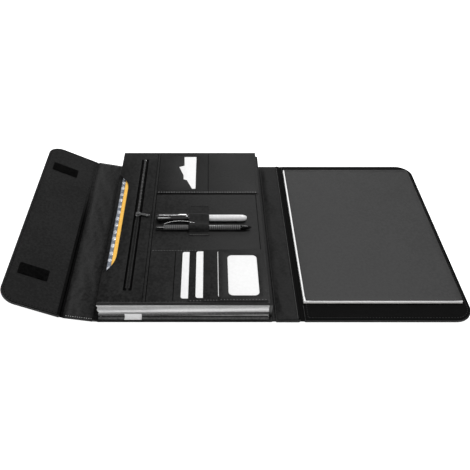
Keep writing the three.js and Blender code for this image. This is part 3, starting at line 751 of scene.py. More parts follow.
gussetSettings = {
    "left": -41.2, "right": -2.5, "bottom": -3.4, "dip": 1.0, "wrinkle": 0.6, "fade": 5, "cell": 2.0,
    "grooveWidth": 8.0, "grooveDepth": 1.9, "grooveFades": (10, 150), "stitchInset": 2.2, "stitchPitch": 3.0,
}


def grooveShare(y):
    # The fold beside the flap is deep near the reader and fades away from them
    first, last = gussetSettings["grooveFades"]
    return 1 - smooth((y - first) / (last - first))


def gussetEdgeDrop(y):
    return gussetSettings["grooveDepth"] * (0.2 + 0.8 * grooveShare(y))


def gussetRelief(x, y):
    left = gussetSettings["left"]
    right = gussetSettings["right"]
    fade = gussetSettings["fade"]
    nearEnd, farEnd = boxOf("gusset")[2:4]
    share = (x - left) / (right - left)
    long = noise.noise(Vector((x * 0.10 + y * 0.02, y * 0.018, 1.3)))
    short = noise.noise(Vector((x * 0.2 - y * 0.06, y * 0.07, 7.7)))
    wrinkles = -gussetSettings["dip"] * math.sin(math.pi * share)
    wrinkles -= gussetSettings["wrinkle"] * (long + 0.3) - 0.2 * short
    wrinkles *= smooth((right - x) / fade) * smooth((y - nearEnd) / fade) * smooth((farEnd - y) / fade)
    fromFlap = (x - left) / gussetSettings["grooveWidth"]
    if fromFlap >= 1:
        return wrinkles
    return wrinkles * smooth(fromFlap) - gussetEdgeDrop(y) * (1 - fromFlap) ** 2


def gussetRows(settings, z, pitch=0):
    # Stitches along the gusset's near and far edges
    y0, y1 = boxOf("gusset")[2:4]
    bm = bmesh.new()
    for y in (y0 + settings["stitchInset"], y1 - settings["stitchInset"]):
        addStitchRow(bm, (settings["left"] + 3, y, z), (settings["right"] - 1, y, z), pitch)
    turnAboutJoint(bm, "gusset_fold", gussetTilt)
    return bm


def addGusset(settings):
    area = (settings["left"], settings["right"], *boxOf("gusset")[2:4])
    bm = softSlab(area, settings["bottom"], 0, cell=settings["cell"], edge=0.25, relief=gussetRelief,
                  margin=0)
    turnAboutJoint(bm, "gusset_fold", gussetTilt)
    finishPiece("gussetSide", bm, "gusset", "gusset", "gusset")
    stitches = gussetRows(settings, -0.2, settings["stitchPitch"])
    finishPiece("gussetStitching", stitches, "thread", "gusset")


addGusset(gussetSettings)

# Flap: skin, lining with stitches, and two hook patches

flapSettings = {
    "left": -80.3, "right": -3.55, "bottom": -0.8, "corners": (20.8, 0, 0, 20.8),
    "waveSize": 60, "waveDepth": 0.3,
    "turnedEdge": 2.6, "turnedReach": 0.85, "stitchInset": 2.4, "outerFace": -4.0,
}
hookSettings = {
    "size": (40, 19), "reach": 68.5, "base": 0.3, "thickness": 0.55, "margin": 1, "stitchInset": 1.2,
    "pitch": 1.25, "height": 0.55, "radii": (0.3, 0.12), "jitter": 0.2, "lean": 0.5,
}


def flapArea(settings):
    nearY, farY = boxOf("flap_lining")[2:4]
    return settings["left"], settings["right"], nearY, farY


def flapFrame(settings, z):
    bm = bmesh.new()
    addStitchFrame(bm, flapArea(settings), settings["stitchInset"], z, settings["corners"], "nfl")
    turnAboutJoint(bm, "flap_fold", flapTilt)
    return bm


def addFlap(settings):
    addSkin("flap")
    right, nearY, farY = flapArea(settings)[1:]
    flapWaves = gentleWaves(settings["waveSize"], settings["waveDepth"], 5.0)
    bm = softSlab(flapArea(settings), settings["bottom"], 0, settings["corners"], 6.0, 0.35, flapWaves)
    turnAboutJoint(bm, "flap_fold", flapTilt)
    finishPiece("flapLining", bm, "flapLining", "flap", "flap_lining")
    # The fold's leather laps over the lining's edge and carries its painted shadow, nearly black near the
    # reader
    strip = (right - settings["turnedEdge"], right + settings["turnedReach"], nearY + 0.3, farY - 0.3)
    edge = softSlab(strip, -0.5, 0.08, cell=6.0, edge=0.1, relief=flapWaves)
    turnAboutJoint(edge, "flap_fold", flapTilt)
    finishPiece("flapFoldShadowEdge", edge, "fold", "flap")
    finishPiece("flapStitching", flapFrame(settings, 0), "darkThread", "flap")


def addHookPatch(name, node, settings):
    y0, y1 = boxOf(node)[2:4]
    x0 = -settings["reach"]
    x1 = x0 + settings["size"][0]
    top = settings["base"] + settings["thickness"]
    bm = softSlab((x0, x1, y0, y1), settings["base"], top, (1, 1, 1, 1), 3.0, 0.2)
    margin = settings["margin"]
    jitter = settings["jitter"]
    width = x1 - x0 - 2 * margin
    length = y1 - y0 - 2 * margin
    columns = int(width / settings["pitch"])
    rows = int(length / settings["pitch"])
    foot, tip = settings["radii"]
    for column in range(columns):
        for row in range(rows):
            made = bmesh.ops.create_cone(
                bm, segments=4, radius1=foot, radius2=tip, depth=settings["height"], cap_ends=True)["verts"]
            lean = Matrix.Rotation(random.uniform(-settings["lean"], settings["lean"]), 4, "X")
            place = Vector((
                x0 + margin + (column + 0.5) * width / columns + random.uniform(-jitter, jitter),
                y0 + margin + (row + 0.5) * length / rows + random.uniform(-jitter, jitter),
                top + settings["height"] * 0.4))
            bmesh.ops.transform(bm, matrix=Matrix.Translation(place) @ lean, verts=made)
    addStitchFrame(bm, (x0, x1, y0, y1), settings["stitchInset"], top)
    turnAboutJoint(bm, "flap_fold", flapTilt)
    finishPiece(name, bm, "hook", "flap", node)


addFlap(flapSettings)
addHookPatch("hookPatchNear", "hook_patch_near", hookSettings)
addHookPatch("hookPatchFar", "hook_patch_far", hookSettings)
addCopy("loopPatchNear", "loop_patch_near", 0.15, "hook", "front")
addCopy("loopPatchFar", "loop_patch_far", 0.15, "hook", "front")
print("gusset and flap made")

# Creases: leather in the groove between two panels, inside and outside

creaseSettings = {"width": 5.0, "innerDrop": 3.0, "outerThickness": 0.9, "depth": 4.0, "cell": 0.9}


def addCrease(label, degrees, depths, lap=0.1, finish="lining"):
    # Depths are those of the groove near the reader and far from them
    node = label + "_crease"
    y0, y1 = boxOf(node)[2:4]
    half = creaseSettings["width"] / 2
    deep, shallow = depths

    def groove(x, y):
        depth = shallow + (deep - shallow) * grooveShare(y)
        across = max(-1, min(1, x / half))
        if deep == shallow:
            return -depth * math.cos(across * math.pi / 2)
        # Steep beside the flap's stiff edge, then up to the soft gusset's own edge
        low = -depth
        if across < -0.3:
            return low * smooth((across + 1) / 0.7)
        return low + (-gussetEdgeDrop(y) - low) * smooth((across + 0.3) / 1.3)

    depth = creaseSettings["depth"]
    layers = (
        ("Lining", -creaseSettings["innerDrop"], -0.02, finish, groove, node),
        ("Skin", -depth + 0.05, -depth + creaseSettings["outerThickness"], "cover", None, ""),
    )
    for suffix, low, high, surface, relief, standsFor in layers:
        bm = softSlab((-half - 0.1, half + lap, y0, y1), low, high, cell=creaseSettings["cell"], edge=0.1,
                      relief=relief, margin=0)
        turn = turnAboutJoint(bm, label + "_fold", degrees)
        piece = finishPiece(label + "Crease" + suffix, bm, surface, None, standsFor)
        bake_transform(piece)


addCrease("spine", 0, (0.9, 0.9))
# The cover's crease is darkened with the same painted shade
addCrease("cover", 0, (0.7, 0.7), finish="frontLining")
addCrease("gusset", gussetTilt / 2, (0.5, 0.5))
# The flap's crease wears the fold's painted shadow
addCrease("flap", (gussetTilt + flapTilt) / 2, (2.7, 0.6), 1.0, "fold")
print("creases made")

# Clear pockets: bundles of thin film with uneven front edges

sleeveSettings = {
    "perBundle": 7, "thickness": 0.3, "gap": 0.2, "ragged": 0.9, "loose": 25, "sag": 0.12, "sway": 0.35,
    "squeeze": 0.525, "cell": 9.0,
}


def addSleeves(settings):
    bundles = [name for name in nodes if name.startswith("clear_pocket_")]
    half = settings["thickness"] / 2
    squeezed = []
    for index, node in enumerate(sorted(bundles)):
        x0, x1, y0, y1, z0, z1 = boxOf(node)
        bm = bmesh.new()
        pitch = (z1 - z0 + settings["gap"]) / settings["perBundle"]
        for sheet in range(settings["perBundle"]):
            layer = index * settings["perBundle"] + sheet
            middle = z0 + (sheet + 0.5) * pitch
            near = y0 + settings["ragged"] * random.random()
            area = (x0 + random.random(), x1, near, y1)
            leaf = softSlab(area, middle - half, middle + half, cell=settings["cell"], edge=0.12)
            for vert in leaf.verts:
                spot = Vector((vert.co.x * 0.03, layer * 0.7, 0))
                fromFront = max(0, 1 - (vert.co.y - near) / settings["loose"])
                vert.co.z += settings["sag"] * noise.noise(spot) * fromFront
                vert.co.y += settings["sway"] * noise.noise(spot * 1.7) * fromFront
            joinPart(bm, leaf)
        name = f"clearPockets{index + 1}"
        squeezed.append(finishPiece(name, bm, "sleeve", "back", node))
    squeezed.append(addCopy("bindingStrip", "binding_strip", 0.5, "blackPlastic", "back", 3))
    for piece in squeezed:
        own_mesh(piece)
    addCopy("topSheet", "top_sheet", 0.25, "lining", "stack_top")
    addCopy("indexTab", "index_tab", 0.12, "paper", "back")


addSleeves(sleeveSettings)
print("clear pockets made")

# Organiser leaf

leafSettings = {
    "edge": 0.35, "pocketEdge": 0.16, "cardEdge": 0.06, "stitchInset": 2.2, "seamWidth": 3.4,
    "seamRise": 0.4, "seamFromPockets": 0.8, "rightSeamInset": 5.0, "lineWidth": 0.9, "lipShadow": 1.9,
    "rimWidth": 0.7, "divider": 77.5, "lowerSeam": 33, "lipStitchInset": 2.6, "pocketStitchInset": 1.2,
}


def addLeaf(settings):
    addCopy("leafBack", "leaf_back", 0.25, "lining", "leaf")
    addCopy("leafWall", "leaf_wall", 0.2, "leaf", "leaf")
    addCopy("leafFront", "leaf_front", settings["edge"], "leaf", "leaf", 3)
    for name, node in (("cardPocketOne", "card_pocket_1"), ("cardPocketTwo", "card_pocket_2"),
                       ("windowPocket", "window_pocket"), ("upperPocket", "upper_pocket")):
        addCopy(name, node, settings["pocketEdge"], "leaf", "leaf")
    for name, node in (("cardOne", "card_1"), ("cardTwo", "card_2"), ("cardInWindow", "window_card"),
                       ("noteCard", "note_card")):
        addCopy(name, node, settings["cardEdge"], "paper", nodes[node]["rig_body"])


def addLeafSeams(settings):
    x0, x1, y0, y1 = boxOf("leaf_front")[:4]
    top = boxOf("leaf_front")[5]
    pocketLeft, pocketRight, upperNear = boxOf("upper_pocket")[:3]
    cardFar = boxOf("card_pocket_1")[3]
    seam = pocketLeft - settings["seamFromPockets"]
    width = settings["seamWidth"]
    rightSeam = x1 - settings["rightSeamInset"] - width * 0.3
    # The seams stay under the pens, which slide across them
    gaps = [(boxOf(node)[4] - top) * 0.6 for node in ("pen_barrel", "marker_cap")]
    rise = min(settings["seamRise"], *gaps)
    strips = bmesh.new()
    for left in (seam - width, rightSeam):
        joinPart(strips, softSlab((left, left + width, y0 + 1, y1 - 1), top - 0.3, top + rise,
                                  cell=1.2, edge=0.2))
    finishPiece("leafSeams", strips, "leaf", "leaf")
    # A rim along the leaf's near edge, painted lighter as a highlight
    rim = softSlab((x0 + 1, x1 - 1, y0 + 0.15, y0 + 0.15 + settings["rimWidth"]), top - 0.3, top + 0.12,
                   cell=12, edge=0.1)
    finishPiece("leafNearHighlightRim", rim, "rim", "leaf")
    upperFar = boxOf("upper_pocket")[3]
    upperTop = boxOf("upper_pocket")[5]
    lines = bmesh.new()
    lineWidth = settings["lineWidth"]
    for x, near, far, high in ((seam + 0.1, y0 + 1, y1 - 1, top), (seam - width - 0.5, y0 + 1, y1 - 1, top),
                               (rightSeam - 0.6, y0 + 1, y1 - 1, top),
                               (pocketLeft + settings["divider"] + 1, upperNear + 0.5, upperFar - 2,
                                upperTop),
                               (pocketLeft + settings["lowerSeam"] + 1, y0 + 1.5, cardFar, top)):
        addPaintedShadowLine(lines, (x + lineWidth / 2, (near + far) / 2, high), lineWidth, far - near)
    shadow = settings["lipShadow"]
    addPaintedShadowLine(lines, ((pocketLeft + pocketRight + 1.5) / 2, upperNear - shadow / 2, top),
                pocketRight - pocketLeft + 1.5, shadow)
    finishPiece("leafSeamShadowLines", lines, "shadowLine", "leaf")


def addLeafStitching(settings):
    leafLeft = boxOf("leaf_front")[0]
    y0, y1 = boxOf("leaf_front")[2:4]
    top = boxOf("leaf_front")[5]
    pocketLeft, pocketRight, upperNear = boxOf("upper_pocket")[:3]
    upperTop = boxOf("upper_pocket")[5]
    cardLeft = boxOf("card_pocket_1")[0]
    cardFar = boxOf("card_pocket_1")[3]
    seam = pocketLeft - settings["seamFromPockets"]
    left = leafLeft + settings["stitchInset"]
    near = y0 + settings["stitchInset"]
    far = y1 - settings["stitchInset"]
    edgeRows = (
        ((left, near, top), (seam - settings["seamWidth"] - 1, near, top)),
        ((seam + 1, near, top), (cardLeft - 1, near, top)),
        ((left, far, top), (pocketLeft - 1, far, top)),
    )
    addStitches("leafEdgeStitching", edgeRows, "dullThread", "leaf")
    y = upperNear + settings["lipStitchInset"]
    lipRow = ((pocketLeft + 1, y, upperTop), (pocketRight - 1, y, upperTop))
    addStitches("leafStitching", [lipRow], "thread", "leaf")
    # A row ends where the next pocket begins
    pockets = [boxOf(node) for node in ("card_pocket_1", "card_pocket_2", "window_pocket")]
    stops = [box[0] for box in pockets[1:]] + [pockets[-1][1]]
    seamRows = []
    for box, stop in zip(pockets, stops):
        y = box[2] + settings["pocketStitchInset"]
        seamRows.append(((box[0] + 1, y, box[5]), (stop - 1, y, box[5])))
    y = cardFar + 1.4
    seamRows.append(((pocketLeft + 1.2, y, top), (pocketRight - 2, y, top)))
    addStitches("leafSeamStitching", seamRows, "seamThread", "leaf")


addLeaf(leafSettings)
addLeafSeams(leafSettings)
addLeafStitching(leafSettings)
print("organiser leaf made")

# Zip: woven tapes, rows of teeth, slider and pull

zipSettings = {
    "pitch": 1.5, "tooth": (2.0, 0.85, 0.75), "toothLean": 12, "groove": 0.45, "openInset": 1.3,
    "closingStart": 18.5, "closingRun": 14, "toothReach": 0.65, "interlock": 0.35,
    "toothBevel": 0.14, "liningDrop": 0.72, "liningReach": 4, "edgeLine": 0.9, "edgeGap": 0.35,
}


def addTooth(bm, place, side, settings):
    made = bmesh.ops.create_cube(bm, size=1)["verts"]
    lean = Matrix.Rotation(math.radians(settings["toothLean"] * side), 4, "Z")
    shape = Matrix.Diagonal((*settings["tooth"], 1))
    bmesh.ops.transform(bm, matrix=Matrix.Translation(place) @ lean @ shape, verts=made)


def addTeeth(settings, side, word, centre, openHalf):
    # The two rows lie apart near the reader and meet in the slider
    node = "zip_coil_" + word.lower()
    y0, y1, z0, z1 = boxOf(node)[2:]
    sliderNear, sliderFar = boxOf("zip_slider")[2:4]
    closingY = (sliderNear + sliderFar) / 2 - settings["closingStart"]
    rows = {True: bmesh.new(), False: bmesh.new()}
    count = int((y1 - y0) / settings["pitch"])
    for index in range(count):
        y = y0 + (index + 0.5) * (y1 - y0) / count
        merge = max(0, min(1, (y - closingY) / settings["closingRun"]))
        closed = merge > 0.99
        reach = openHalf + (settings["groove"] - openHalf) * merge + settings["toothReach"]
        if closed:
            y += settings["pitch"] * 0.25 * side
            reach -= settings["interlock"]
        addTooth(rows[closed], (centre + side * reach, y, (z0 + z1) / 2), side, settings)
    for bm in rows.values():
        bevelSharp(bm, settings["toothBevel"], 1)
    # The closed teeth are painted lighter grey as a highlight; the open ones are black
    finishPiece("zipClosedTeeth" + word, rows[True], "zipCoilHighlight", "leaf", node)
    finishPiece("zipOpenTeeth" + word, rows[False], "blackPlastic", "leaf")


def addZip(settings):
    left = boxOf("zip_coil_left")[0]
    right = boxOf("zip_coil_right")[1]
    centre = (left + right) / 2
    for side, word in ((-1, "Left"), (1, "Right")):
        addTeeth(settings, side, word, centre, (right - left) / 2 - settings["openInset"])
        addCopy("zipTape" + word, "zip_tape_" + word.lower(), 0.12, "tape", "leaf")
    tapeLeft = boxOf("zip_tape_left")[0]
    y0, y1, z0 = boxOf("zip_tape_left")[2:5]
    reach = settings["liningReach"]
    bottom = z0 - settings["liningDrop"]
    area = (tapeLeft - reach, 2 * centre - tapeLeft + reach, y0 - 1, y1 + 1)
    behind = softSlab(area, bottom, bottom + 0.12, cell=12, edge=0.04)
    finishPiece("zipLining", behind, "leaf", "leaf")
    lines = bmesh.new()
    top = boxOf("leaf_front")[5]
    for side in (-1, 1):
        x = centre + side * (centre - tapeLeft + settings["edgeGap"])
        addPaintedShadowLine(lines, (x, (y0 + y1) / 2, top), settings["edgeLine"], y1 - y0)
    finishPiece("zipEdgeShadowLines", lines, "shadowLine", "leaf")
    addCopy("zipStop", "zip_stop", 0.2, "darkMetal", "leaf")
    addCopy("zipSlider", "zip_slider", 0.25, "darkMetal", "slider", 3)
    addCopy("zipPull", "zip_pull", 0.28, "darkMetal", "pull", 3)


addZip(zipSettings)

# Elastic loop that follows both pens and lies flat beyond them

loopSettings = {
    "thickness": 0.75, "overPen": 1.45, "overMarker": 1.5, "valley": 3.2, "ribs": 26, "ribDepth": 0.09,
    "penArc": (190, 120), "markerArc": (125, 130), "stitchPitch": 2.4,
}


def arcPoints(y, z, radius, start, sweep, steps=8):
    # Points round a pen, clockwise from start in degrees
    angles = [math.radians(start - sweep * step / steps) for step in range(steps + 1)]
    return [(y + radius * math.cos(angle), z + radius * math.sin(angle)) for angle in angles]


def loopPath(settings):
    # Pairs of place along Y and height of the band's underside
    nearTab, farTab, base = boxOf("pen_loop")[2:5]
    penY, penZ, penR = axisOf("pen_barrel")
    markerY, markerZ, markerR = axisOf("marker_barrel")
    penR += settings["overPen"]
    markerR += settings["overMarker"]
    penStart, penSweep = settings["penArc"]
    markerStart, markerSweep = settings["markerArc"]
    points = [(nearTab, base), (nearTab + 2.5, base), (nearTab + 5, base), (penY - penR - 0.6, base + 0.1)]
    points += arcPoints(penY, penZ, penR, penStart, penSweep)
    # The band dips between the pens
    middle = (points[-1][0] + markerY - markerR * math.cos(math.radians(180 - markerStart))) / 2
    penTop = penZ + penR * math.sin(math.radians(penStart - penSweep))
    points.append((middle, penTop - settings["valley"] * 0.35))
    points += arcPoints(markerY, markerZ, markerR, markerStart, markerSweep)
    points.append((markerY + markerR + 0.9, base + 0.2))
    farStart = markerY + markerR + 3
    for step in range(5):
        points.append((farStart + (farTab - farStart) * step / 4, base))
    return points


def addLoop(settings):
    x0, x1, y0, y1, z0 = boxOf("pen_loop")[:5]
    path = loopPath(settings)
    bm = bmesh.new()
    columns = settings["ribs"] * 2
    rows = []
    acrossX = [x0 + (x1 - x0) * column / columns for column in range(columns + 1)]
    for y, z in path:
        rows.append([bm.verts.new((x, y, z)) for x in acrossX])
    for first, second in zip(rows, rows[1:]):
        for column in range(columns):
            bm.faces.new((first[column], first[column + 1], second[column + 1], second[column]))
    bmesh.ops.recalc_face_normals(bm, faces=bm.faces)
    if sum(face.normal.z for face in bm.faces) < 0:
        bmesh.ops.reverse_faces(bm, faces=bm.faces)
    bm.normal_update()
    # The upper face stands off along the lower one's normals, with a rib on every second column
    lower = {vert: vert.normal.copy() for vert in bm.verts}
    order = {vert: index % (columns + 1) for index, vert in enumerate(v for row in rows for v in row)}
    made = bmesh.ops.extrude_face_region(bm, geom=bm.faces[:], use_keep_orig=True)["geom"]
    tops = [item for item in made if isinstance(item, bmesh.types.BMVert)]
    places = {vert.co.copy().freeze(): vert for vert in lower}
    for vert in tops:
        source = places[vert.co.copy().freeze()]
        rib = settings["ribDepth"] if order[source] % 2 else 0
        vert.co += lower[source] * (settings["thickness"] + rib)
    bmesh.ops.recalc_face_normals(bm, faces=bm.faces)
    loop = finishPiece("penLoop", bm, "elastic", "leaf", "pen_loop", 50)
    high = z0 + settings["thickness"] + settings["ribDepth"]
    for word, y, finish in (("Near", y0 + 1.6, "seamThread"), ("Far", y1 - 1.4, "darkThread")):
        row = ((x0 + 1, y, high), (x1 - 1, y, high))
        addStitches("penLoopStitching" + word, [row], finish, "leaf", settings["stitchPitch"])


addLoop(loopSettings)

# Round bodies spun about their own long axis


def spunAlongX(profile, y, z, steps=40):
    bm = bmesh.new()
    verts = [bm.verts.new((x, 0, radius)) for x, radius in profile]
    edges = [bm.edges.new(pair) for pair in zip(verts, verts[1:])]
    bmesh.ops.spin(bm, geom=verts + edges, cent=(0, 0, 0), axis=(1, 0, 0), angle=math.tau,
                   steps=steps, use_merge=True, use_duplicate=False)
    bmesh.ops.remove_doubles(bm, verts=bm.verts, dist=0.0005)
    bmesh.ops.recalc_face_normals(bm, faces=bm.faces)
    bmesh.ops.translate(bm, vec=(0, y, z), verts=bm.verts)
    return bm


markerSettings = {"round": 9.0, "tipFlat": 0.22, "capRing": 3.0, "capWall": 0.6, "capDepth": 12}


def addMarker(settings):
    # The barrel, a little thinner where the cap goes over it, with a rounded end
    x0, x1 = boxOf("marker_barrel")[:2]
    capLeft, capRight = boxOf("marker_cap")[:2]
    y, z, radius = axisOf("marker_barrel")
    flat = settings["tipFlat"]
    profile = [(x0, 0), (x0, radius - 1), (capRight + 0.3, radius - 1), (capRight + 0.3, radius - 0.25),
               (capRight + 0.6, radius)]
    for step in range(9):
        angle = math.pi / 2 * step / 8
        profile.append((x1 - settings["round"] * (1 - math.sin(angle)),
                        radius * (flat + (1 - flat) * math.cos(angle))))
    profile.append((x1, 0))
    finishPiece("markerBarrel", spunAlongX(profile, y, z), "markerWhite", "marker",
                "marker_barrel")
    # The cap: domed end, a ring near its mouth, and the hollow that holds the barrel
    ring = capRight - settings["capRing"]
    inner = radius - settings["capWall"]
    stop = capLeft + settings["capDepth"]
    cap = [(capLeft, 0), (capLeft, radius * 0.55), (capLeft + 0.5, radius * 0.8),
           (capLeft + 1.6, radius * 0.95), (capLeft + 3.5, radius),
           (ring - 0.4, radius), (ring, radius - 0.25), (ring + 0.4, radius),
           (capRight - 0.3, radius), (capRight, radius - 0.25), (capRight, inner), (stop, inner), (stop, 0)]
    finishPiece("markerCap", spunAlongX(cap, y, z), "capGloss", "cap", "marker_cap")
    addCopy("markerClip", "marker_clip", 0.25, "chrome", "cap", 3)


def mapBarrel(bm, y, z, cell, around):
    # The weave's map: along the barrel by length, round it by angle
    layer = bm.loops.layers.uv.new("barrelMap")
    for face in bm.faces:
        turns = []
        for corner in face.loops:
            at = corner.vert.co
            turns.append(math.atan2(at.z - z, at.y - y) / math.tau % 1)
        wraps = max(turns) - min(turns) > 0.5
        for corner, turned in zip(face.loops, turns):
            share = turned + 1 if wraps and turned < 0.5 else turned
            corner[layer].uv = (corner.vert.co.x / cell + 200, share * around)


penSettings = {
    "bands": 16, "cell": 3.0, "bore": 2.5, "boreDepth": 11.3, "tipSteps": 6, "collar": 3.4,
    "clipStart": -34.2, "clipEnd": 9.6, "clipRise": 4.6, "clipWidth": 1.9, "clipThickness": 0.8,
    "clipLift": 0.35, "clipLean": 42, "clipBevel": 0.24, "clipBall": 1.1, "clipSteps": 20,
}


def addPenClip(settings, y, z, radius):
    # A bowed strip whose far end rests on the elastic loop, in the dip between the pens
    x0 = settings["clipStart"]
    x1 = settings["clipEnd"]
    foot = radius + settings["clipLift"]
    bm = bmesh.new()
    rings = []
    for step in range(settings["clipSteps"] + 1):
        share = step / settings["clipSteps"]
        x = x0 + (x1 - x0) * share
        height = foot + settings["clipRise"] * 4 * share * (1 - share) + 1.9 * share ** 3
        half = settings["clipWidth"] / 2 * (1 - 0.25 * share)
        ring = []
        for side, level in ((-1, 0), (1, 0), (1, 1), (-1, 1)):
            ring.append(bm.verts.new((x, side * half, height + level * settings["clipThickness"])))
        rings.append(ring)
    for first, second in zip(rings, rings[1:]):
        for corner in range(4):
            other = (corner + 1) % 4
            bm.faces.new((first[corner], first[other], second[other], second[corner]))
    bm.faces.new(rings[0])
    bm.faces.new(rings[-1])
    bmesh.ops.recalc_face_normals(bm, faces=bm.faces)
    bevelSharp(bm, settings["clipBevel"], 2, 50)
    ball = bmesh.ops.create_uvsphere(bm, u_segments=16, v_segments=10, radius=settings["clipBall"])["verts"]
    bmesh.ops.translate(bm, vec=(x1 - 0.6, 0, foot + 2.1), verts=ball)
    lean = Matrix.Rotation(math.radians(-settings["clipLean"]), 4, "X")
    bmesh.ops.transform(bm, matrix=Matrix.Translation((0, y, z)) @ lean, verts=bm.verts)
    finishPiece("penClip", bm, "clipChrome", "pen", "pen_clip", 50)


def addPen(settings):
    # The barrel is open at the clicker's end
    x0, x1 = boxOf("pen_barrel")[:2]
    y, z, radius = axisOf("pen_barrel")
    bore = settings["bore"]
    boreEnd = x0 + settings["boreDepth"]
    profile = [(x0, bore), (x0, radius - 0.5), (x0 + 0.5, radius), (x1 - 0.4, radius), (x1, radius - 0.3),
               (x1, 0), (boreEnd, 0), (boreEnd, bore), (x0, bore)]
    bm = spunAlongX(profile, y, z, 48)
    mapBarrel(bm, y, z, settings["cell"], settings["bands"])
    finishPiece("penBarrel", bm, "carbon", "pen", "pen_barrel")
    # The tip tapers from a collar that goes over the barrel's end
    tipLeft, tipRight = boxOf("pen_tip")[:2]
    collarLeft = tipLeft - settings["collar"]
    tip = [(tipLeft, 0), (tipLeft, radius - 0.5), (collarLeft, radius - 0.5), (collarLeft, radius + 0.06),
           (collarLeft + 0.3, radius + 0.12), (tipLeft, radius + 0.1), (tipLeft + 0.4, radius - 0.1)]
    for step in range(1, settings["tipSteps"] + 1):
        share = step / settings["tipSteps"]
        x = tipLeft + 0.4 + share * (tipRight - tipLeft - 0.8)
        tip.append((x, radius * (0.95 - 0.62 * share ** 2.0)))
    tip += [(tipRight, 0.7), (tipRight, 0)]
    finishPiece("penTip", spunAlongX(tip, y, z), "penTip", "pen", "pen_tip")
    left, right = boxOf("pen_clicker")[:2]
    knob = [(left, 0), (left, 1.5), (left + 0.35, 2.0), (left + 1.0, 2.2), (x0 - 2.4, 2.2), (x0 - 2.2, 2.0),
            (x0 - 2.0, 2.2), (right, 2.2), (right, 0)]
    finishPiece("penClicker", spunAlongX(knob, y, z), "capGloss", "clicker", "pen_clicker")
    addPenClip(settings, y, z, radius)


addMarker(markerSettings)
addPen(penSettings)
print("zip, loop and pens made")

# Padded envelope: yellow paper, and a margin of bubble film along its left edge

envelopeSettings = {
    "filmWidth": 8.5, "filmOverlap": 3, "puff": 0.3, "fill": 0.4, "bubble": 4.1, "pitch": 14.5,
    "bubbleInset": 2.9, "flatness": 0.28, "narrowness": 0.7, "stretch": (0.8, 1.15), "jitter": (0.4, 0.12),
}


def addEnvelope(settings):
    x0, x1, y0, y1, z0, z1 = boxOf("padded_envelope")

    def puff(x, y):
        return settings["puff"] * noise.noise(Vector((x * 0.11, y * 0.11, 9)))

    filmRight = x0 + settings["filmWidth"]
    paper = softSlab((filmRight - settings["filmOverlap"], x1, y0, y1), z0 + 0.6, z1 - 0.2, (1, 1, 1, 1),
                     3.5, 0.6, puff)
    piece = finishPiece("envelopePaper", paper, "yellow", "envelope", "padded_envelope")
    film = softSlab((x0, filmRight, y0, y1), z0, z0 + 0.5, cell=2.5, edge=0.15)
    finishPiece("envelopeFilm", film, "film", "envelope")
    acrossJitter, alongJitter = settings["jitter"]
    bubbles = bmesh.new()
    count = int((y1 - y0) / settings["pitch"])
    for index in range(count):
        made = bmesh.ops.create_uvsphere(
            bubbles, u_segments=16, v_segments=10, radius=settings["bubble"])["verts"]
        length = random.uniform(*settings["stretch"])
        flat = Matrix.Diagonal((settings["narrowness"], length, settings["flatness"], 1))
        x = x0 + settings["bubbleInset"] + random.uniform(-acrossJitter, acrossJitter)
        y = y0 + (index + 0.5 + random.uniform(-alongJitter, alongJitter)) * (y1 - y0) / count
        place = Matrix.Translation((x, y, z0 + 0.55))
        bmesh.ops.transform(bubbles, matrix=place @ flat, verts=made)
    finishPiece("envelopeBubbles", bubbles, "bubble", "envelope")


addEnvelope(envelopeSettings)

# Pad: backing card, uneven pages, binding and cover

padSettings = {"layers": 10, "ragged": 0.25, "cardEdge": 0.2, "coverEdge": 0.2, "coverCorners": (2, 2, 0, 0)}


def addPad(settings):
    addCopy("padBackingCard", "pad_backing_card", settings["cardEdge"], "board", "pad")
    x0, x1, y0, y1, z0, z1 = boxOf("pad_pages")
    bm = bmesh.new()
    pitch = (z1 - z0) / settings["layers"]
    for layer in range(settings["layers"]):
        left, right, near, far = [settings["ragged"] * random.random() for _ in range(4)]
        joinPart(bm, softSlab((x0 + left, x1 - right, y0 + near, y1 - far), z0 + layer * pitch + 0.01,
                              z0 + (layer + 1) * pitch - 0.01, (1, 1, 1, 1), 60, 0.08))
    finishPiece("padPages", bm, "pages", "pad", "pad_pages")
    addCopy("padBinding", "pad_binding", settings["cardEdge"], "padCover", "pad")
    x0, x1, y0, y1, z0, z1 = boxOf("pad_cover")
    cover = softSlab((x0, x1, y0, y1), z0, z1, settings["coverCorners"], 9.0, settings["coverEdge"])
    finishPiece("padCover", cover, "padCover", "pad_front", "pad_cover")


addPad(padSettings)
print("envelope and pad made")

# Stitches where they come out on the outside of the cover

outsideSink = 0.2        # how far their middles lie inside the skin


def addOutsideStitching(sink):
    for label, sides in (("back", "nf"), ("spine", "nf"), ("front", "nrf")):
        face = boxOf(label + "_outer_skin")[4]
        bm = bmesh.new()
        addStitchFrame(bm, boxOf(label + "_lining")[:4], panelSettings["stitchInset"], face + sink,
                       panelSettings["corners"][label], sides)
        finishPiece(label + "OutsideStitching", bm, "seamThread", label)
    bm = flapFrame(flapSettings, flapSettings["outerFace"] + sink)
    finishPiece("flapOutsideStitching", bm, "seamThread", "flap")
    bm = gussetRows(gussetSettings, gussetSettings["bottom"] + sink)
    finishPiece("gussetOutsideStitching", bm, "seamThread", "gusset")


addOutsideStitching(outsideSink)
print("outside stitching made")

# Boards that stay as packed, inside the panels

for name in ("back_board", "spine_board", "front_board", "flap_board"):
    nodes[name].material_slots[0].material = finishes["board"]

# Floor, world and lamps

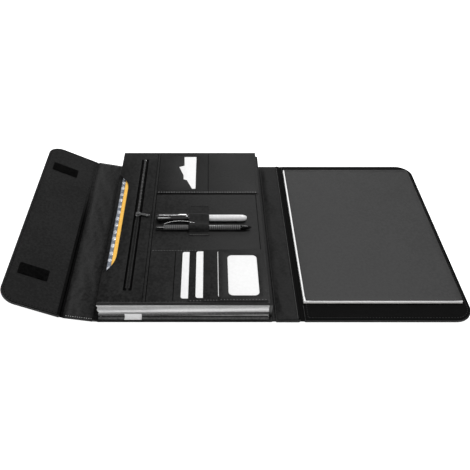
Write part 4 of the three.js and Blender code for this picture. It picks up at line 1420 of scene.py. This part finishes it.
stageSettings = {
    "floorSize": 8.0, "floorHeight": -0.0004, "floorGlow": 0.78, "floorColour": 0.80, "worldStrength": 0.36,
    "lamps": (
        ("keyLamp", (0.65, 0.75, 1.85), 0.6, 26.0),
        ("frontLamp", (-0.25, -1.3, 1.25), 0.8, 10.0),
        ("backLamp", (0.35, 1.7, 1.0), 0.7, 4.0),
    ),
    "lookAt": (0.05, 0.0, 0.02),
}


def addFloor(settings):
    bm = bmesh.new()
    bmesh.ops.create_grid(bm, x_segments=1, y_segments=1, size=settings["floorSize"] / 2)
    mesh = meshFrom("floor", bm)
    floor = addObject("floor", mesh)
    floor.location.z = settings["floorHeight"]
    material, tree, shader = plainMaterial("floorFinish", {
        "Base Color": grey(settings["floorColour"]), "Roughness": 0.9, "Specular IOR Level": 0.1})
    # The glow shows to the camera, and in gloss and clear film, and lights nothing else
    path = addNode(tree, "ShaderNodeLightPath")
    seen = mathNode(tree, "ADD", path.outputs["Is Camera Ray"], path.outputs["Is Glossy Ray"])
    seen = mathNode(tree, "ADD", seen, path.outputs["Is Transmission Ray"])
    strength = mathNode(tree, "MULTIPLY", mathNode(tree, "MINIMUM", seen, 1.0), settings["floorGlow"])
    glow = addNode(tree, "ShaderNodeEmission", {"Color": grey(1.0), "Strength": strength})
    both = addNode(tree, "ShaderNodeAddShader", {0: shader.outputs[0], 1: glow.outputs[0]})
    feed(tree, tree.nodes["Material Output"], {"Surface": both.outputs[0]})
    mesh.materials.append(material)


def addWorld(settings):
    world = bpy.data.worlds.new("studio")
    world.use_nodes = True
    tree = world.node_tree
    soft = tree.nodes["Background"]
    feed(tree, soft, {"Color": grey(1.0), "Strength": settings["worldStrength"]})
    white = addNode(tree, "ShaderNodeBackground", {"Color": grey(1.0), "Strength": 1.0})
    path = addNode(tree, "ShaderNodeLightPath")
    mixed = addNode(tree, "ShaderNodeMixShader", {
        0: path.outputs["Is Camera Ray"], 1: soft.outputs[0], 2: white.outputs[0]})
    feed(tree, tree.nodes["World Output"], {"Surface": mixed.outputs[0]})
    bpy.context.scene.world = world


def addLamps(settings):
    for name, place, size, power in settings["lamps"]:
        data = bpy.data.lights.new(name, "AREA")
        data.shape = "DISK"
        data.size = size
        data.energy = power
        lamp = addObject(name, data)
        lamp.location = place
        lamp.rotation_euler = (Vector(settings["lookAt"]) - Vector(place)).to_track_quat("-Z", "Y").to_euler()


addFloor(stageSettings)
addWorld(stageSettings)
addLamps(stageSettings)
bpy.context.scene.view_settings.view_transform = "Standard"
print("stage made")
